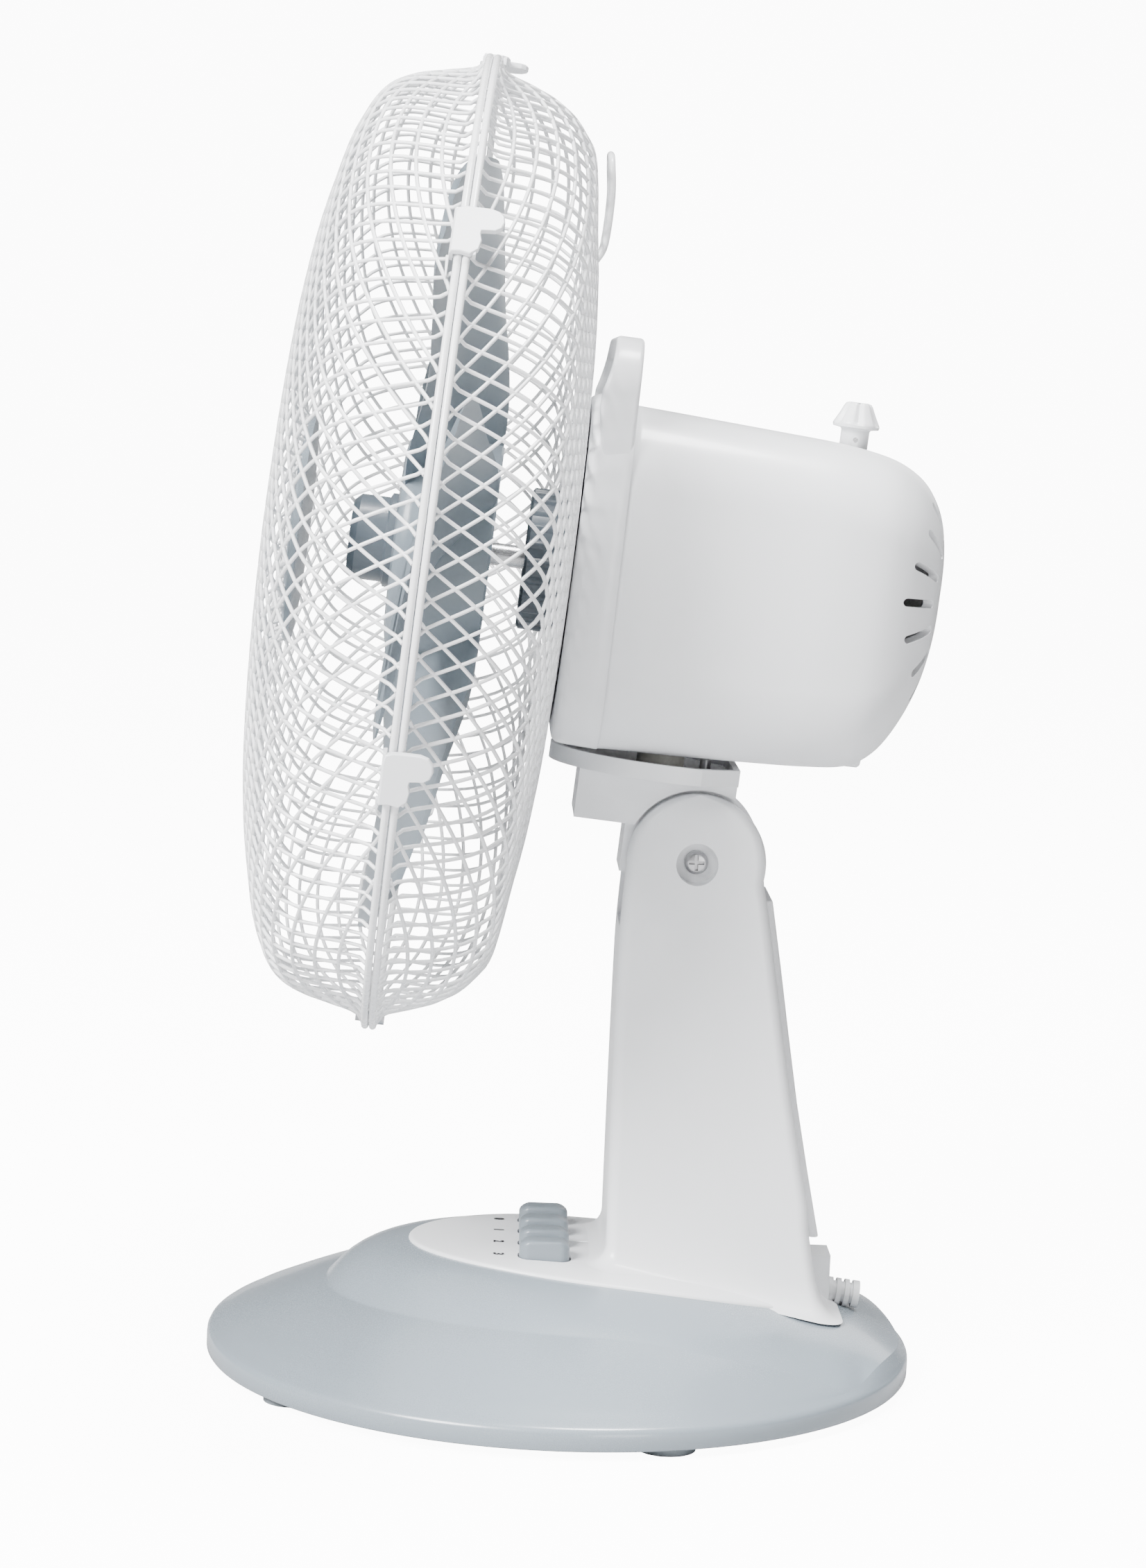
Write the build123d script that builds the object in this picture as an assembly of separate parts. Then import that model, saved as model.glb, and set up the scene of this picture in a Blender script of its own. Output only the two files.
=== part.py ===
from build123d import *
from math import cos, sin, radians
import os

# Desk fan on a round weighted base. Millimetres, +Z up, the fan faces -Y.
# The origin is on the floor, under the middle of the round base.

# Base
BASE_R = 126.0              # outer radius of the base cover
COVER_WALL = 2.4
FOOT_Z = 3.0                # gap under the base cover that the feet make
RIM_TOP = 9.0               # top of the upright rim band
DOME = ((122.6, 11.4), (118.6, 13.9), (98.0, 22.8), (84.0, 27.4), (50.0, 33.0))
BULGE_Y = -10.0             # centre of the raised middle of the cover
BULGE_SEMI = (95.0, 88.0, 52.0)        # its half sizes across, along and up
CROWN_TOP, CROWN_R = 41.8, 300.0       # the nearly flat crown: its height at the middle, and its round
CROWN_DROP = 1.8            # the crown falls towards the rear, in degrees
FOOT_COUNT = 5
FOOT_R = 113.0              # radius that the feet stand on
FOOT_PAD = 10.0             # radius of one foot
FOOT_FIRST = -54.0          # angle of the first foot from +X
PLATE_R = 121.0             # bottom plate
PLATE_T = 2.0
BALLAST_R, BALLAST_T = 74.0, 6.0

# Control panel and keys
PANEL_Y = 22.0              # middle of the oval panel
PANEL_SEMI = (50.0, 77.0)   # half width and half length
PANEL_PROUD = 1.0           # how far the panel stands above the base cover
PANEL_T = 2.6
KEY_COUNT = 4
KEY_PITCH = 17.75
KEY_Y = -6.5
KEY_SIZE = (9.6, 17.8)      # across and along
KEY_TOP = 50.7
KEY_LENGTH = 17.0
KEY_GAP = 0.4
SWITCH_TOP = 29.0           # top of the switch block that the keys push into
SWITCH_SIZE = (74.0, 22.0, 13.0)

# Column
COL_FRONT = 15.0            # Y of the upright front wall
COL_TOP_HALF, COL_FOOT_HALF = 24.0, 33.0
COL_FOOT_Z = 24.0
COL_REAR_TOP = (63.0, 184.8)
COL_REAR_FOOT = (84.6, 46.0)
COL_WALL = 2.6
EAR_R = 24.4                # round top of the column's two ears
EAR_IN = 15.4               # half width of the fork slot
FORK_FRONT_Z = 160.6        # the front wall ends here, under the fork
REAR_COVER_T = 2.6
REAR_COVER_Z = (52.0, 172.5)
REAR_COVER_HALF = 19.0

# Cord outlet
GLAND_REAR, GLAND_TOP = 96.5, 43.3
SLEEVE_R, SLEEVE_END = 4.9, 11.4
SLEEVE_Z = 28.8
SLEEVE_DROP = 6.6           # the sleeve points a little down, in degrees
CORD_R = 3.1

# Tilt pivot
PIVOT_Y, PIVOT_Z = 41.2, 184.8
BOLT_R = 4.0
BOLT_HEAD_R, BOLT_HEAD_T = 7.0, 4.0
RECESS_R = 7.8
RECESS_X = 17.6             # the bolt head sits on this plane inside the ear
RUN_GAP = 0.05              # radial gap of a running fit
KNUCKLE_R = 22.0
KNUCKLE_HALF = 15.0
BRACKET_HALF = 20.0

# Head frame: x across, y up, z forward, about the middle of the guard rings
TILT = 5.16
HEAD_Y, HEAD_Z = -56.1, 291.1
AXIS_F = -90.0              # oscillation axis, behind the guard rings
TRAY_R = 39.5
TRAY_TOP, TRAY_BOTTOM = -62.6, -68.4
TRAY_REAR = -117.0
TRAY_RIM = 2.4
TRAY_CORNER = (38.2, 12.0)
TRAY_REAR_HALF = 24.5
BLOCK_FRONT, BLOCK_REAR = -61.5, -117.0
BLOCK_BOTTOM = -86.5
POST_R = 6.0
BUSH_R = 8.5

# Motor housing, as (forward, top, bottom, half width, corner radius) stations
SHELL = (
    (-66.0, 58.3, -60.7, 56.0, 28.0),
    (-100.0, 56.6, -59.7, 55.0, 28.0),
    (-137.0, 54.6, -58.2, 52.0, 28.0),
    (-152.0, 52.6, -57.0, 48.5, 28.0),
    (-161.5, 49.6, -51.0, 43.5, 27.0),
    (-169.0, 44.8, -39.0, 36.5, 24.0),
    (-175.0, 37.0, -27.0, 27.5, 19.0),
    (-179.0, 25.0, -10.0, 14.0, 10.0),
)
SHELL_WALL = 2.6
CHIN_R, CHIN_F = 5.0, (-160.4, -148.0)     # boss for the cover's screw
SLAB_FRONT, SLAB_REAR = -49.2, -65.8
SLAB_HALF = 57.0
SLAB_TOP, SLAB_BOTTOM = 61.2, -60.6
HANDLE_TOP = 81.0
HANDLE_FRONT = -54.0
HANDLE_REAR = -63.6
HANDLE_HALF = 56.4
HANDLE_BAR = 9.0
NECK_R = 17.0               # threaded neck that holds the rear guard
NECK_FRONT = -34.5

# Oscillation knob
KNOB_F = -142.4
KNOB_TOP, KNOB_FLANGE = 69.5, 61.3
KNOB_R = (4.6, 8.2)
KNOB_STEM_R = 5.0
KNOB_HOLE = (-144.4, 8.0)

# Motor
SHAFT_R = 4.0
STATOR_F = (-116.0, -82.0)
STATOR_HALF = 43.0
ROTOR_R = 26.0
AIR_GAP = 0.6
GEARBOX_F = (-160.0, -134.0)

# Oscillating gear: a crank disc and the link arm on its pin
CRANK_F = -141.0
CRANK_THROW = 7.0
LINK_LENGTH = 14.0
LINK_HALF = 4.5
LINK_UP = (-46.4, -43.0)

# Fan blade
BLADE_TIP = 134.0           # the tip section stands here; its corners reach further out
HUB_R = 38.0
HUB_F = (-21.0, 13.0)
BLADE_COUNT = 5
BLADE_FIRST = -3.0
HUB_HOLLOW_R = 23.0
SPINNER_R = 15.0
SPINNER_F = (13.4, 29.0)

# Guards
RING_R = 170.2              # centre line of both rim rings
RING_WIRE = 1.25
RING_F = 1.35
WIRE_R = 0.7
WIRES = 30
FRONT_CURVE = ((38.6, 47.2), (52.0, 55.2), (84.0, 53.6), (138.0, 43.6), (157.0, 32.0), (163.0, 17.0), (168.9, 1.6))
REAR_CURVE = ((57.0, -47.3), (118.0, -42.2), (140.0, -39.5), (157.0, -25.0), (163.8, -9.0), (168.9, -1.6))
BADGE_R = 39.6
BADGE_F = (45.0, 49.0)
REAR_PLATE_R = 58.0
REAR_PLATE_F = (-48.9, -46.7)
LOCK_NUT_R = 25.3
LOCK_NUT_F = (-46.5, -32.6)
CLIP_ANGLES = (52.5, 112.5, 232.5, 292.5, 352.5)
LOCK_ANGLE = 172.5
CLIP_WIDTH = 18.0
CLIP_CURL = (1.6, 2.9)      # inside and outside radius of the clip's curl about the rear rim

TURN = 360.0
parts = {}


def head_plane(forward=0.0):
    """The head frame: local x is +X, local y is the head's up, local z is forward."""
    tilt = radians(TILT)
    frame = Plane(origin=(0, HEAD_Y, HEAD_Z), x_dir=(1, 0, 0), z_dir=(0, -cos(tilt), sin(tilt)))
    return frame.offset(forward)


def in_head(shape):
    return head_plane().location * shape


def disc(radius, low, high, hole=0.0):
    """A round plate along local z, from low to high, with an optional hole."""
    solid = Pos(0, 0, (low + high) / 2) * Cylinder(radius, high - low)
    if hole > 0:
        solid -= Pos(0, 0, (low + high) / 2) * Cylinder(hole, 3 * (high - low))
    return solid


def block(x, y, z):
    """A box from three (low, high) pairs."""
    middle = [(low + high) / 2 for low, high in (x, y, z)]
    return Pos(*middle) * Box(x[1] - x[0], y[1] - y[0], z[1] - z[0])


def rod_x(radius, x, y, z):
    """A rod along X from x[0] to x[1]."""
    return Pos((x[0] + x[1]) / 2, y, z) * Rot(0, 90, 0) * Cylinder(radius, x[1] - x[0])


def polar_places(count, first=0.0):
    return [first + TURN * i / count for i in range(count)]


def side_prism(points, half):
    """A closed outline in (Y, Z), carried across X from -half to half."""
    face = make_face(Polyline(*[(0, y, z) for y, z in points], close=True))
    return extrude(face, amount=half, dir=(1, 0, 0), both=True)


# ---------------------------------------------------------------- base
def dome_solid(radius, rim_top, drop):
    """The round dome under the base cover's skin, lowered by drop for its inside."""
    points = [(0, 0), (radius, 0), (radius, rim_top - drop)]
    points += [(r - drop, z - drop) for r, z in DOME]
    points.append((0, DOME[-1][1] - drop))
    outline = make_face(Polyline(*[(r, 0, z) for r, z in points], close=True))
    return revolve(outline, axis=Axis.Z)


def bulge_solid(grow):
    """The raised oval middle of the base, larger by grow, with a nearly flat crown."""
    semi = [half + grow for half in BULGE_SEMI]
    oval = Pos(0, BULGE_Y, 0) * scale(Sphere(1.0), by=tuple(semi))
    crown = Rot(90.0 - CROWN_DROP, 0, 0) * Cylinder(CROWN_R + grow, 3 * BASE_R)
    return oval & (Pos(0, 0, CROWN_TOP - CROWN_R) * crown)


def without_base(shape, grow):
    """A shape less the base's outer form, which is taken larger or smaller by grow."""
    return shape - dome_solid(BASE_R + grow, RIM_TOP, -grow) - bulge_solid(grow)


def within_base(shape, grow):
    """The part of a shape that lies inside the base's outer form, larger or smaller by grow."""
    return (shape & dome_solid(BASE_R + grow, RIM_TOP, -grow)) + (shape & bulge_solid(grow))


def panel_outline(grow, low, high):
    face = Ellipse(PANEL_SEMI[0] + grow, PANEL_SEMI[1] + grow)
    return Pos(0, PANEL_Y, low) * extrude(face, amount=high - low)


def make_base():
    above_floor = Pos(0, 0, 30 + FOOT_Z) * Cylinder(BASE_R, 60)
    shell = dome_solid(BASE_R, RIM_TOP, 0) & above_floor
    shell -= panel_outline(-6.0, 1.0, 80.0)
    shell = without_base(shell, -COVER_WALL)
    crown = (bulge_solid(0) & above_floor) - panel_outline(-6.0, 1.0, 80.0)
    crown = without_base(crown, -COVER_WALL)
    shell += crown
    shell -= Pos(0, 0, FOOT_Z) * Cylinder(BASE_R - COVER_WALL, 2 * COVER_WALL)
    parts["base_cover"] = shell
    parts["base_plate"] = disc(PLATE_R, FOOT_Z, FOOT_Z + PLATE_T)
    parts["ballast_weight"] = disc(BALLAST_R, FOOT_Z + PLATE_T, FOOT_Z + PLATE_T + BALLAST_T)
    feet = []
    for angle in polar_places(FOOT_COUNT, FOOT_FIRST):
        feet.append(Rot(0, 0, angle) * Pos(FOOT_R, 0, FOOT_Z / 2) * Cylinder(FOOT_PAD, FOOT_Z))
    parts["rubber_feet"] = Compound(children=feet)
    screws = []
    for angle in polar_places(FOOT_COUNT, FOOT_FIRST + TURN / 2 / FOOT_COUNT):
        head = disc(3.6, 1.2, FOOT_Z)
        shank = disc(1.6, FOOT_Z, FOOT_Z + 7.0)
        screws.append(Rot(0, 0, angle) * Pos(100.0, 0, 0) * (head + shank))
    for screw in screws:
        parts["base_plate"] -= screw
    parts["base_screws"] = Compound(children=screws)


# ---------------------------------------------------------------- panel and column
def column_profile(inset):
    """Side view of the column without its ears, as (Y, Z) points."""
    (rear_y, rear_z), (foot_y, foot_z) = COL_REAR_TOP, COL_REAR_FOOT
    slope = (foot_y - rear_y) / (rear_z - foot_z)
    low = COL_FOOT_Z - 2 * inset
    rear_low = foot_y + slope * (foot_z - low)
    return [
        (COL_FRONT + inset, low),
        (COL_FRONT + inset, PIVOT_Z),
        (rear_y - inset, PIVOT_Z),
        (rear_low - inset, low),
    ]


def column_solid(inset):
    """The tapered column with its round top, smaller by inset all round."""
    half = COL_FOOT_HALF + 6.0
    side = side_prism(column_profile(inset), half)
    side += rod_x(EAR_R - inset, (-half, half), PIVOT_Y, PIVOT_Z)
    top_z = PIVOT_Z + EAR_R
    front = [
        (-COL_FOOT_HALF + inset, COL_FOOT_Z - 8.0),
        (COL_FOOT_HALF - inset, COL_FOOT_Z - 8.0),
        (COL_TOP_HALF - inset, top_z + 1.0),
        (-COL_TOP_HALF + inset, top_z + 1.0),
    ]
    face = make_face(Polyline(*[(x, 0, z) for x, z in front], close=True))
    taper = extrude(face, amount=150.0, dir=(0, 1, 0), both=True)
    return side & taper


def key_places():
    return [(i - (KEY_COUNT - 1) / 2) * KEY_PITCH for i in range(KEY_COUNT)]


def key_solid(grow, low, high):
    """One key, or with grow its hole in the panel."""
    outline = RectangleRounded(KEY_SIZE[0] + 2 * grow, KEY_SIZE[1] + 2 * grow, 3.6 + grow)
    return Pos(0, KEY_Y, low) * extrude(outline, amount=high - low)


def make_panel_and_column():
    plate = within_base(panel_outline(0, 15.0, 60.0), PANEL_PROUD)
    plate = without_base(plate, PANEL_PROUD - PANEL_T)
    column = column_solid(0)
    inside = column_solid(COL_WALL) & block((-50, 50), (0, 120), (0.0, FORK_FRONT_Z - 6.0))
    column -= inside
    column = without_base(column, PANEL_PROUD - PANEL_T)
    fork = block((-EAR_IN, EAR_IN), (-10, 120), (FORK_FRONT_Z, 230))
    column -= fork
    rear_gap = block((-REAR_COVER_HALF - 0.3, REAR_COVER_HALF + 0.3), (60, 120), REAR_COVER_Z)
    column -= rear_gap & (column_solid(-5.0) - column_solid(REAR_COVER_T))
    for side in (1, -1):
        column -= rod_x(RECESS_R, sorted((side * RECESS_X, side * 40.0)), PIVOT_Y, PIVOT_Z)
    column -= rod_x(BOLT_R, (-40, 40), PIVOT_Y, PIVOT_Z)
    moulding = plate + column
    moulding -= dome_solid(BASE_R, RIM_TOP, 0) - panel_outline(-6.2, 0.0, 80.0)
    moulding -= bulge_solid(0) - panel_outline(-6.2, -80.0, 80.0)
    for x in key_places():
        moulding -= Pos(x, 0, 0) * key_solid(KEY_GAP, 20.0, 60.0)
    gland_slot = block((-8.3, 8.3), (84.0, 120), (20.0, 43.6))
    moulding -= gland_slot
    parts["column_housing"] = moulding
    cover = column_solid(-2.4) - column_solid(REAR_COVER_T)
    cover &= block((-REAR_COVER_HALF, REAR_COVER_HALF), (60, 120), (REAR_COVER_Z[0] + 0.3, REAR_COVER_Z[1]))
    parts["column_rear_cover"] = cover


def make_keys():
    for index, x in enumerate(key_places()):
        name = "key_" + str(index)
        crown = KEY_TOP - 2.2
        body = key_solid(0, KEY_TOP - KEY_LENGTH, KEY_TOP)
        dome = Pos(0, KEY_Y, crown - 19.0) * Rot(0, 90, 0) * Cylinder(21.2, 30.0)
        parts[name] = Pos(x, 0, 0) * (body & dome)
    wide, deep, tall = SWITCH_SIZE
    switch = block((-wide / 2, wide / 2), (KEY_Y - deep / 2, KEY_Y + deep / 2), (SWITCH_TOP - tall, SWITCH_TOP))
    parts["switch_block"] = switch
    stand = block((-wide / 2, wide / 2), (KEY_Y - 8, KEY_Y + 8), (FOOT_Z + PLATE_T + BALLAST_T, SWITCH_TOP - tall))
    parts["switch_stand"] = stand


def make_cord_gland():
    """The cord's outlet at the foot of the column, and its ribbed sleeve."""
    gland = block((-8.0, 8.0), (86.0, GLAND_REAR), (20.0, GLAND_TOP))
    gland -= column_solid(0.3)
    gland = without_base(gland, PANEL_PROUD)
    sleeve_at = Pos(0, GLAND_REAR, SLEEVE_Z) * Rot(-90.0 - SLEEVE_DROP, 0, 0)
    gland -= sleeve_at * Cylinder(SLEEVE_R + RUN_GAP, 60.0)
    parts["cord_gland"] = gland
    sleeve = sleeve_at * disc(SLEEVE_R, -7.0, SLEEVE_END, hole=CORD_R)
    for step in range(1, 4):
        groove = sleeve_at * disc(SLEEVE_R + 1.0, 3.0 * step - 1.3, 3.0 * step, hole=SLEEVE_R - 1.1)
        sleeve -= groove
    parts["strain_relief"] = sleeve


# ---------------------------------------------------------------- tilt joint
def tray_outline(rear, rim):
    """The tray's straight rear edge and its two angled corners, moved in by rim."""
    far = 2 * TRAY_R
    corner = [(far, -far), (far, 8.0), (TRAY_CORNER[0] - rim, TRAY_CORNER[1] - rim / 2), (TRAY_REAR_HALF - rim / 2, rear - rim)]
    mirrored = [(-x, y) for x, y in reversed(corner)]
    face = make_face(Polyline(*(corner + mirrored), close=True))
    return Pos(0, 0, TRAY_BOTTOM - far / 4) * extrude(face, amount=far / 2)


def make_tilt_bracket():
    tray = disc(TRAY_R, TRAY_BOTTOM, TRAY_TOP)
    inner = disc(TRAY_R - TRAY_RIM, TRAY_BOTTOM + 2.2, TRAY_TOP + 1.0)
    rear = AXIS_F - TRAY_REAR
    tray = (tray & tray_outline(rear, 0)) - (inner & tray_outline(rear, TRAY_RIM))
    tray = upright(tray)
    post_block = block((-BRACKET_HALF, BRACKET_HALF), (BLOCK_BOTTOM, TRAY_BOTTOM), (BLOCK_REAR, BLOCK_FRONT))
    swing = rod_x(EAR_R + 1.2, (-60, 60), PIVOT_Y, PIVOT_Z) - rod_x(60.0, (-EAR_IN + 0.4, EAR_IN - 0.4), PIVOT_Y,
                                                                   PIVOT_Z)
    yoke = in_head(post_block) + in_head(tray)
    knuckle = rod_x(KNUCKLE_R, (-KNUCKLE_HALF, KNUCKLE_HALF), PIVOT_Y, PIVOT_Z)
    web = in_head(block((-KNUCKLE_HALF, KNUCKLE_HALF), (-104.0, BLOCK_BOTTOM + 1.0), (-124.0, -80.0)))
    yoke = (yoke - swing) + knuckle + (web & rod_x(40.0, (-20, 20), PIVOT_Y, PIVOT_Z))
    yoke -= rod_x(BOLT_R + RUN_GAP, (-60, 60), PIVOT_Y, PIVOT_Z)
    yoke -= in_head(upright(disc(BUSH_R, -84.0, -60.0)))
    parts["tilt_bracket"] = yoke
    parts["post_bush"] = in_head(upright(disc(BUSH_R, -84.0, TRAY_TOP + 0.6, hole=POST_R + RUN_GAP)))
    pin = in_head(upright(Pos(0, 16.0, 0) * disc(2.0, TRAY_BOTTOM + 2.2, -62.4)))
    parts["link_anchor_pin"] = pin


def upright(shape):
    """Turns a shape made on local z about the oscillation axis, so local z becomes the head's up."""
    return Pos(0, 0, AXIS_F) * Rot(-90, 0, 0) * shape


def make_tilt_bolt():
    head = rod_x(BOLT_HEAD_R, (RECESS_X, RECESS_X + BOLT_HEAD_T), PIVOT_Y, PIVOT_Z)
    for angle in (45, 135):
        bar = Pos(RECESS_X + BOLT_HEAD_T, PIVOT_Y, PIVOT_Z) * Rot(angle, 0, 0) * Box(3.2, 1.2, 7.6)
        head -= bar
    shank = rod_x(BOLT_R, (-RECESS_X - 5.6, RECESS_X), PIVOT_Y, PIVOT_Z)
    parts["tilt_bolt"] = head + shank
    nut_face = RegularPolygon(7.2, 6)
    nut = Pos(-RECESS_X - 4.8, PIVOT_Y, PIVOT_Z) * Rot(0, 90, 0) * extrude(nut_face, amount=4.8)
    parts["tilt_nut"] = nut - rod_x(BOLT_R, (-40, 0), PIVOT_Y, PIVOT_Z)


# ---------------------------------------------------------------- motor housing
def shell_section(station, inset):
    forward, top, bottom, half, corner = station
    width = 2 * (half - inset)
    height = top - bottom - 2 * inset
    return Pos(0, (top + bottom) / 2, forward) * RectangleRounded(width, height, corner - inset)


def shell_solid(inset, stations):
    return loft([shell_section(station, inset) for station in stations], ruled=True)


def vent_slots():
    """Slots in a ring round the middle of the housing's back."""
    slots = []
    for angle in polar_places(20):
        slot = extrude(SlotOverall(15.0, 2.3), amount=30.0)
        slots.append(Pos(0, 4.0, -190.0) * Rot(0, 0, angle) * Pos(34.0, 0, 0) * slot)
    return slots


def make_motor_covers():
    outer = shell_solid(0, SHELL)
    inner = shell_solid(SHELL_WALL, [(f + SHELL_WALL, t, b, h, c) for f, t, b, h, c in SHELL])
    inner &= disc(200.0, -178.0, -60.0)
    rear = outer - inner
    rear &= disc(200.0, -190.0, SLAB_REAR)
    rear += Pos(0, -53.4, 0) * disc(CHIN_R, *CHIN_F)
    for slot in vent_slots():
        rear -= slot
    rear -= Pos(0, 50.0, KNOB_HOLE[0]) * Rot(90, 0, 0) * Cylinder(KNOB_HOLE[1], 40.0)
    floor_cut = block((-13.0, 13.0), (-70.0, -50.0), (-124.0, -76.0))
    rear -= floor_cut
    parts["motor_rear_cover"] = in_head(rear)

    slab = RectangleRounded(2 * SLAB_HALF, SLAB_TOP - SLAB_BOTTOM, 24.0)
    slab = Pos(0, (SLAB_TOP + SLAB_BOTTOM) / 2, SLAB_REAR) * extrude(slab, amount=SLAB_FRONT - SLAB_REAR)
    hollow = RectangleRounded(2 * (SLAB_HALF - 2.6), SLAB_TOP - SLAB_BOTTOM - 5.2, 21.4)
    hollow = Pos(0, (SLAB_TOP + SLAB_BOTTOM) / 2, SLAB_REAR - 1) * extrude(hollow, amount=SLAB_FRONT - SLAB_REAR - 1.6)
    arch = RectangleRounded(2 * HANDLE_HALF, HANDLE_TOP - 30.0, 15.0)
    arch = Pos(0, (HANDLE_TOP + 30.0) / 2, HANDLE_REAR) * extrude(arch, amount=HANDLE_FRONT - HANDLE_REAR)
    gap = RectangleRounded(2 * (HANDLE_HALF - HANDLE_BAR), HANDLE_TOP - HANDLE_BAR - SLAB_TOP, 4.0)
    gap = Pos(0, (HANDLE_TOP - HANDLE_BAR + SLAB_TOP) / 2, -70) * extrude(gap, amount=30)
    front = slab + arch
    front -= hollow
    front -= gap
    front -= disc(NECK_R, -70.0, -40.0)
    parts["motor_front_cover"] = in_head(front)
    screw = disc(2.6, -159.5, -158.0) + disc(1.4, -158.0, -151.0)
    parts["cover_screw"] = in_head(Pos(0, -53.4, 0) * screw)
    parts["motor_rear_cover"] -= parts["cover_screw"]


def make_motor():
    core = block((-STATOR_HALF, STATOR_HALF), (-STATOR_HALF, STATOR_HALF), STATOR_F)
    core &= disc(STATOR_HALF * 1.18, *STATOR_F)
    core -= disc(ROTOR_R + AIR_GAP, -200.0, 0.0)
    parts["stator_core"] = in_head(core)
    windings = disc(38.0, STATOR_F[1], STATOR_F[1] + 9.0, hole=28.5) + disc(38.0, STATOR_F[0] - 9.0, STATOR_F[0], hole=28.5)
    parts["stator_windings"] = in_head(windings)
    front_shield = disc(42.0, -72.5, -70.0) + disc(NECK_R, -70.0, NECK_FRONT)
    front_shield += disc(42.0, -82.0, -72.5, hole=39.0)
    front_shield -= disc(SHAFT_R + 3.0, -80.0, -30.0)
    parts["front_end_shield"] = in_head(front_shield)
    rear_shield = disc(42.0, -128.0, -125.6, hole=7.0) + disc(42.0, -125.6, -116.0, hole=39.0)
    parts["rear_end_shield"] = in_head(rear_shield)
    bushes = disc(SHAFT_R + 3.0, -50.0, -36.0, hole=SHAFT_R + RUN_GAP)
    parts["front_bearing"] = in_head(bushes)
    parts["rear_bearing"] = in_head(disc(SHAFT_R + 3.0, -133.0, -124.0, hole=SHAFT_R + RUN_GAP))
    gearbox = block((-18.0, 18.0), (-36.0, 20.0), GEARBOX_F)
    gearbox -= disc(SHAFT_R + 1.0, -150.0, -100.0)
    gearbox -= Pos(0, 20.0, KNOB_F) * Rot(90, 0, 0) * Cylinder(2.4, 24.0)
    parts["gearbox"] = in_head(gearbox)
    carrier = block((-18.0, 18.0), (-54.4, -STATOR_HALF), (-108.0, -74.0))
    post = upright(disc(POST_R, -83.7, -48.0))
    parts["motor_carrier"] = in_head(carrier - post)
    parts["pivot_post"] = in_head(post)
    parts["capacitor"] = in_head(block((21.0, 40.0), (-20.0, 12.0), (-150.0, -136.0)))


def make_oscillator():
    """Crank disc under the gearbox and the link arm that it drives."""
    place = Pos(0, 0, CRANK_F - AXIS_F)
    pin = Pos(0, -CRANK_THROW, 0) * disc(2.0, -46.6, -41.0)
    parts["crank_disc"] = in_head(place * upright(disc(11.0, -41.0, -37.0) + pin))
    far = -CRANK_THROW - LINK_LENGTH
    arm = Pos(0, -CRANK_THROW, 0) * disc(LINK_HALF, *LINK_UP)
    arm += Pos(0, far, 0) * disc(LINK_HALF, *LINK_UP)
    arm += block((-LINK_HALF + 1.6, LINK_HALF - 1.6), (far, -CRANK_THROW), LINK_UP)
    arm -= Pos(0, -CRANK_THROW, 0) * disc(2.0 + RUN_GAP, -60.0, -30.0)
    arm -= Pos(0, far, 0) * disc(2.3, -60.0, -30.0)
    parts["link_arm"] = in_head(place * upright(arm))


def make_knob():
    cone = Pos(0, 0, (KNOB_TOP + KNOB_FLANGE) / 2) * Cone(KNOB_R[1] - 0.4, KNOB_R[0], KNOB_TOP - KNOB_FLANGE)
    flange = disc(KNOB_R[1], KNOB_FLANGE - 1.0, KNOB_FLANGE + 0.8)
    for angle in polar_places(6):
        cone -= Rot(0, 0, angle) * Pos(8.2, 0, KNOB_FLANGE + 6.0) * Rot(0, -12, 0) * Cylinder(2.4, 14.0)
    stem = disc(KNOB_STEM_R, 38.0, KNOB_FLANGE - 1.0)
    knob = cone + flange + stem
    knob -= disc(1.9, 30.0, 50.0)
    knob -= Pos(0, 0, 56.4) * Rot(0, 90, 0) * Cylinder(0.8, 14.0)
    place = Pos(0, 0, KNOB_F - AXIS_F)
    parts["oscillation_knob"] = in_head(place * upright(knob))
    parts["knob_pin"] = in_head(place * upright(Pos(0, 0, 56.4) * Rot(0, 90, 0) * Cylinder(0.8, 9.6)))
    parts["knob_rod"] = in_head(place * upright(disc(1.9, 22.0, 50.0)))


# ---------------------------------------------------------------- fan
def blade_section(radius, chord, pitch, thick, shift, forward):
    face = RectangleRounded(chord, thick, thick * 0.45)
    plane = Plane(origin=(radius, shift, forward), x_dir=(0, 1, 0), z_dir=(1, 0, 0))
    return plane.location * Rot(0, 0, pitch) * face


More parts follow.
